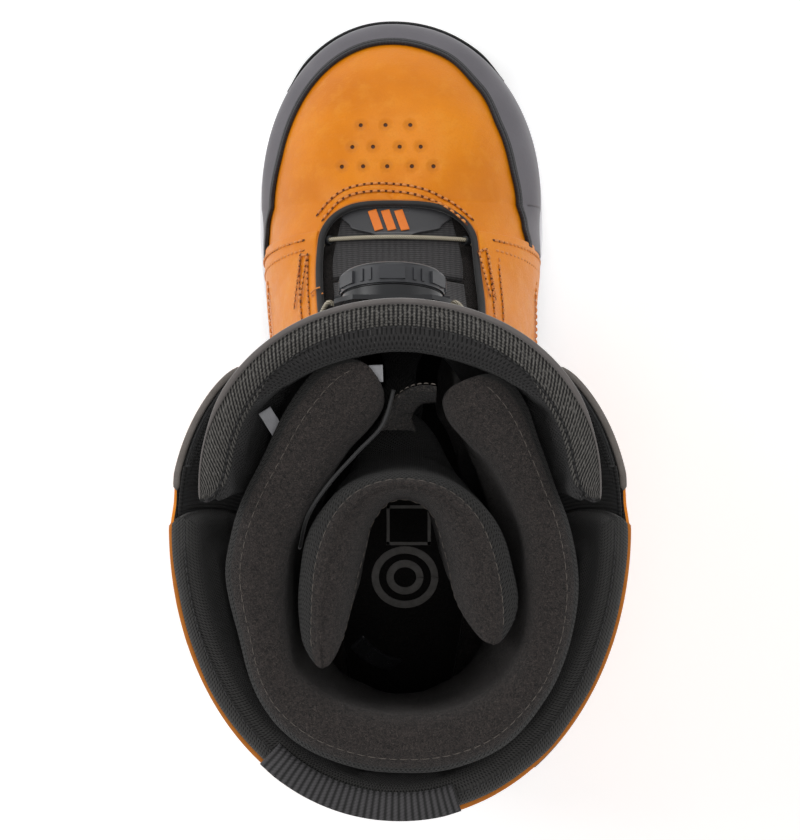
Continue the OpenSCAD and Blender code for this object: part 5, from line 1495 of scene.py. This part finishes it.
# thin lace of the liner
cordlet = through([[-2, 3, 288], [-5.5, -8, 289], [-13.6, -16.8, 290], [-22.4, -26.6, 289], [-29, -36.6, 286],
                   [-32.2, -47.6, 272]], 8)
sweep("liner_cordlet", cordlet, oval(0.6, 0.6, 10), BLACK_EDGE)
flat_patch("liner_label_corner", -7.6, 8.2, 284, 4.4, 5.4, 2, LABEL, curl=0.3)
flat_patch("tongue_side_label", -41.2, -7.0, 272, 4.4, 8.5, 32, LABEL, body="tongue", curl=0.3)

# ---------------------------------------------------------------- pull loop

profile = through([[-10.1, 0.4, 0], [-9.0, 1.2, 0], [-6.8, 1.7, 0], [-3.6, 1.7, 0], [-1, 0.5, 0]], 5)


def loop_grid(lift):
    v = np.linspace(-37, 15, 111)
    q, u = np.where(v < 0, -1, 1) * (COLLAR_TOP + 1), 180 - np.maximum(np.abs(v), 0.01)
    p, out = bare(q, u), normal(q, u)
    flat = unit(out * np.array([1, 1, 0]))
    end = np.minimum(1, (np.abs(np.minimum(v + 37, 15 - v))) / 5)
    sag = -1.6 * (1 - ease(end))
    high = profile[None, :, 1:2] + lift + 2.6 + sag[:, None, None]
    return p[:, None] + profile[None, :, :1] * flat[:, None] + np.array([0, 0, 1.0]) * high


finish_piece(shell("pull_loop_webbing", loop_grid(1.5), loop_grid(0.1), WEB), body="loop", replaces=("pull_loop",),
             slot="trim_black")

# ---------------------------------------------------------------- tacks and loose threads


def tack(name, centre, direction, up, length, width, body, turns=9):
    """A zigzag of thread across a short length."""
    centre, d, up = np.array(centre, float), unit(np.array(direction, float)), unit(np.array(up, float))
    side = unit(np.cross(up, d))
    t = np.linspace(-1, 1, turns * 8)
    angle = t * np.pi * turns
    path = centre + d * (t * length / 2)[:, None] + side * (width / 2 * np.sin(angle))[:, None]
    path = path + up * (0.35 + 0.3 * np.cos(angle * 2))[:, None]
    sweep(name, path, oval(0.34, 0.3, 6), THREAD, body=body)


for side, word, flap in ((-1, "medial", "flap_m"), (1, "lateral", "flap_l")):
    for i, (k, share) in enumerate(((12.0, 0.10), (12.6, 0.2), (11.4, 0.03))):
        q, u = np.array(side * (k + 1.0)), np.array(float(round_u(k, share)))
        n = normal(q, u)
        p = skin(q, u, float(5.4 * max(1 - share / HINGE_B, 0) ** 1.3) + 0.1)
        tack(f"bar_tack_{word}_{i}", p, [0, 0.35, 1], n, 6.5, 1.8, flap)
tuft = [[(-33.5, 41, 0), (-31, 40.4, 1.5), (-29, 41.5, 2)], [(-33.5, 40.6, 0), (-31.5, 39, 1), (-30, 37.6, 1.6)],
        [(-33.8, 41.4, 0), (-32, 43, 1.2), (-30.2, 43.6, 1.4)]]
anchor = on_top([(-33.5, 41), (-33.4, 40.9)], 0.3, 1)[0]
for i, line in enumerate(tuft):
    pts = [[x, y, anchor[0][2] + 1.5 + z] for x, y, z in line]
    sweep(f"loose_thread_{i}", through(pts, 6), oval(0.28, 0.28, 6), THREAD)

# ---------------------------------------------------------------- floor, light, camera

FLOOR_SIZE, FLOOR_GRID, FLOOR_DROP = 5.0, 40, 0.0005  # metres, squares a side, metres
bpy.ops.mesh.primitive_grid_add(x_subdivisions=FLOOR_GRID, y_subdivisions=FLOOR_GRID, size=FLOOR_SIZE,
                                location=(0, 0, -FLOOR_DROP))
floor = bpy.context.object
floor.name = "studio_floor"
floor.data.materials.append(FLOOR)

world = bpy.data.worlds.new("Studio")
world.use_nodes = True
sky = world.node_tree.nodes["Background"]
sky.inputs["Color"].default_value = (1, 1, 1, 1)
sky.inputs["Strength"].default_value = 0.5
bpy.context.scene.world = world


def lamp(name, place, aim, size, power):
    data = bpy.data.lights.new(name, "AREA")
    data.shape = "RECTANGLE"
    data.size, data.size_y, data.energy = size[0], size[1], power
    obj = bpy.data.objects.new(name, data)
    obj.location = place
    obj.rotation_euler = (Vector(aim) - Vector(place)).to_track_quat("-Z", "Y").to_euler()
    bpy.context.scene.collection.objects.link(obj)


lamp("Left_window", (-0.9, 0.25, 0.75), (0, 0, 0.15), (0.5, 0.9), 4.2)
lamp("Right_window", (0.95, 0.15, 0.7), (0, 0, 0.15), (0.5, 0.9), 1.8)
lamp("Front_strip", (0.0, 1.0, 0.8), (0, 0, 0.15), (0.9, 0.35), 3.0)
lamp("Top_soft", (0.02, -0.1, 1.9), (0, -0.05, 0.1), (0.45, 0.45), 6)

CAMERA_AT, CAMERA_LENS, CAMERA_SENSOR = (0, -0.0065, 1.155), 117.86, 36  # metres; millimetres
camera = bpy.data.cameras.new("Camera")
camera.lens, camera.sensor_width, camera.clip_start = CAMERA_LENS, CAMERA_SENSOR, 0.05
view = bpy.data.objects.new("Camera", camera)
view.location = CAMERA_AT
bpy.context.scene.collection.objects.link(view)
bpy.context.scene.camera = view
bpy.context.scene.view_settings.view_transform = "Standard"
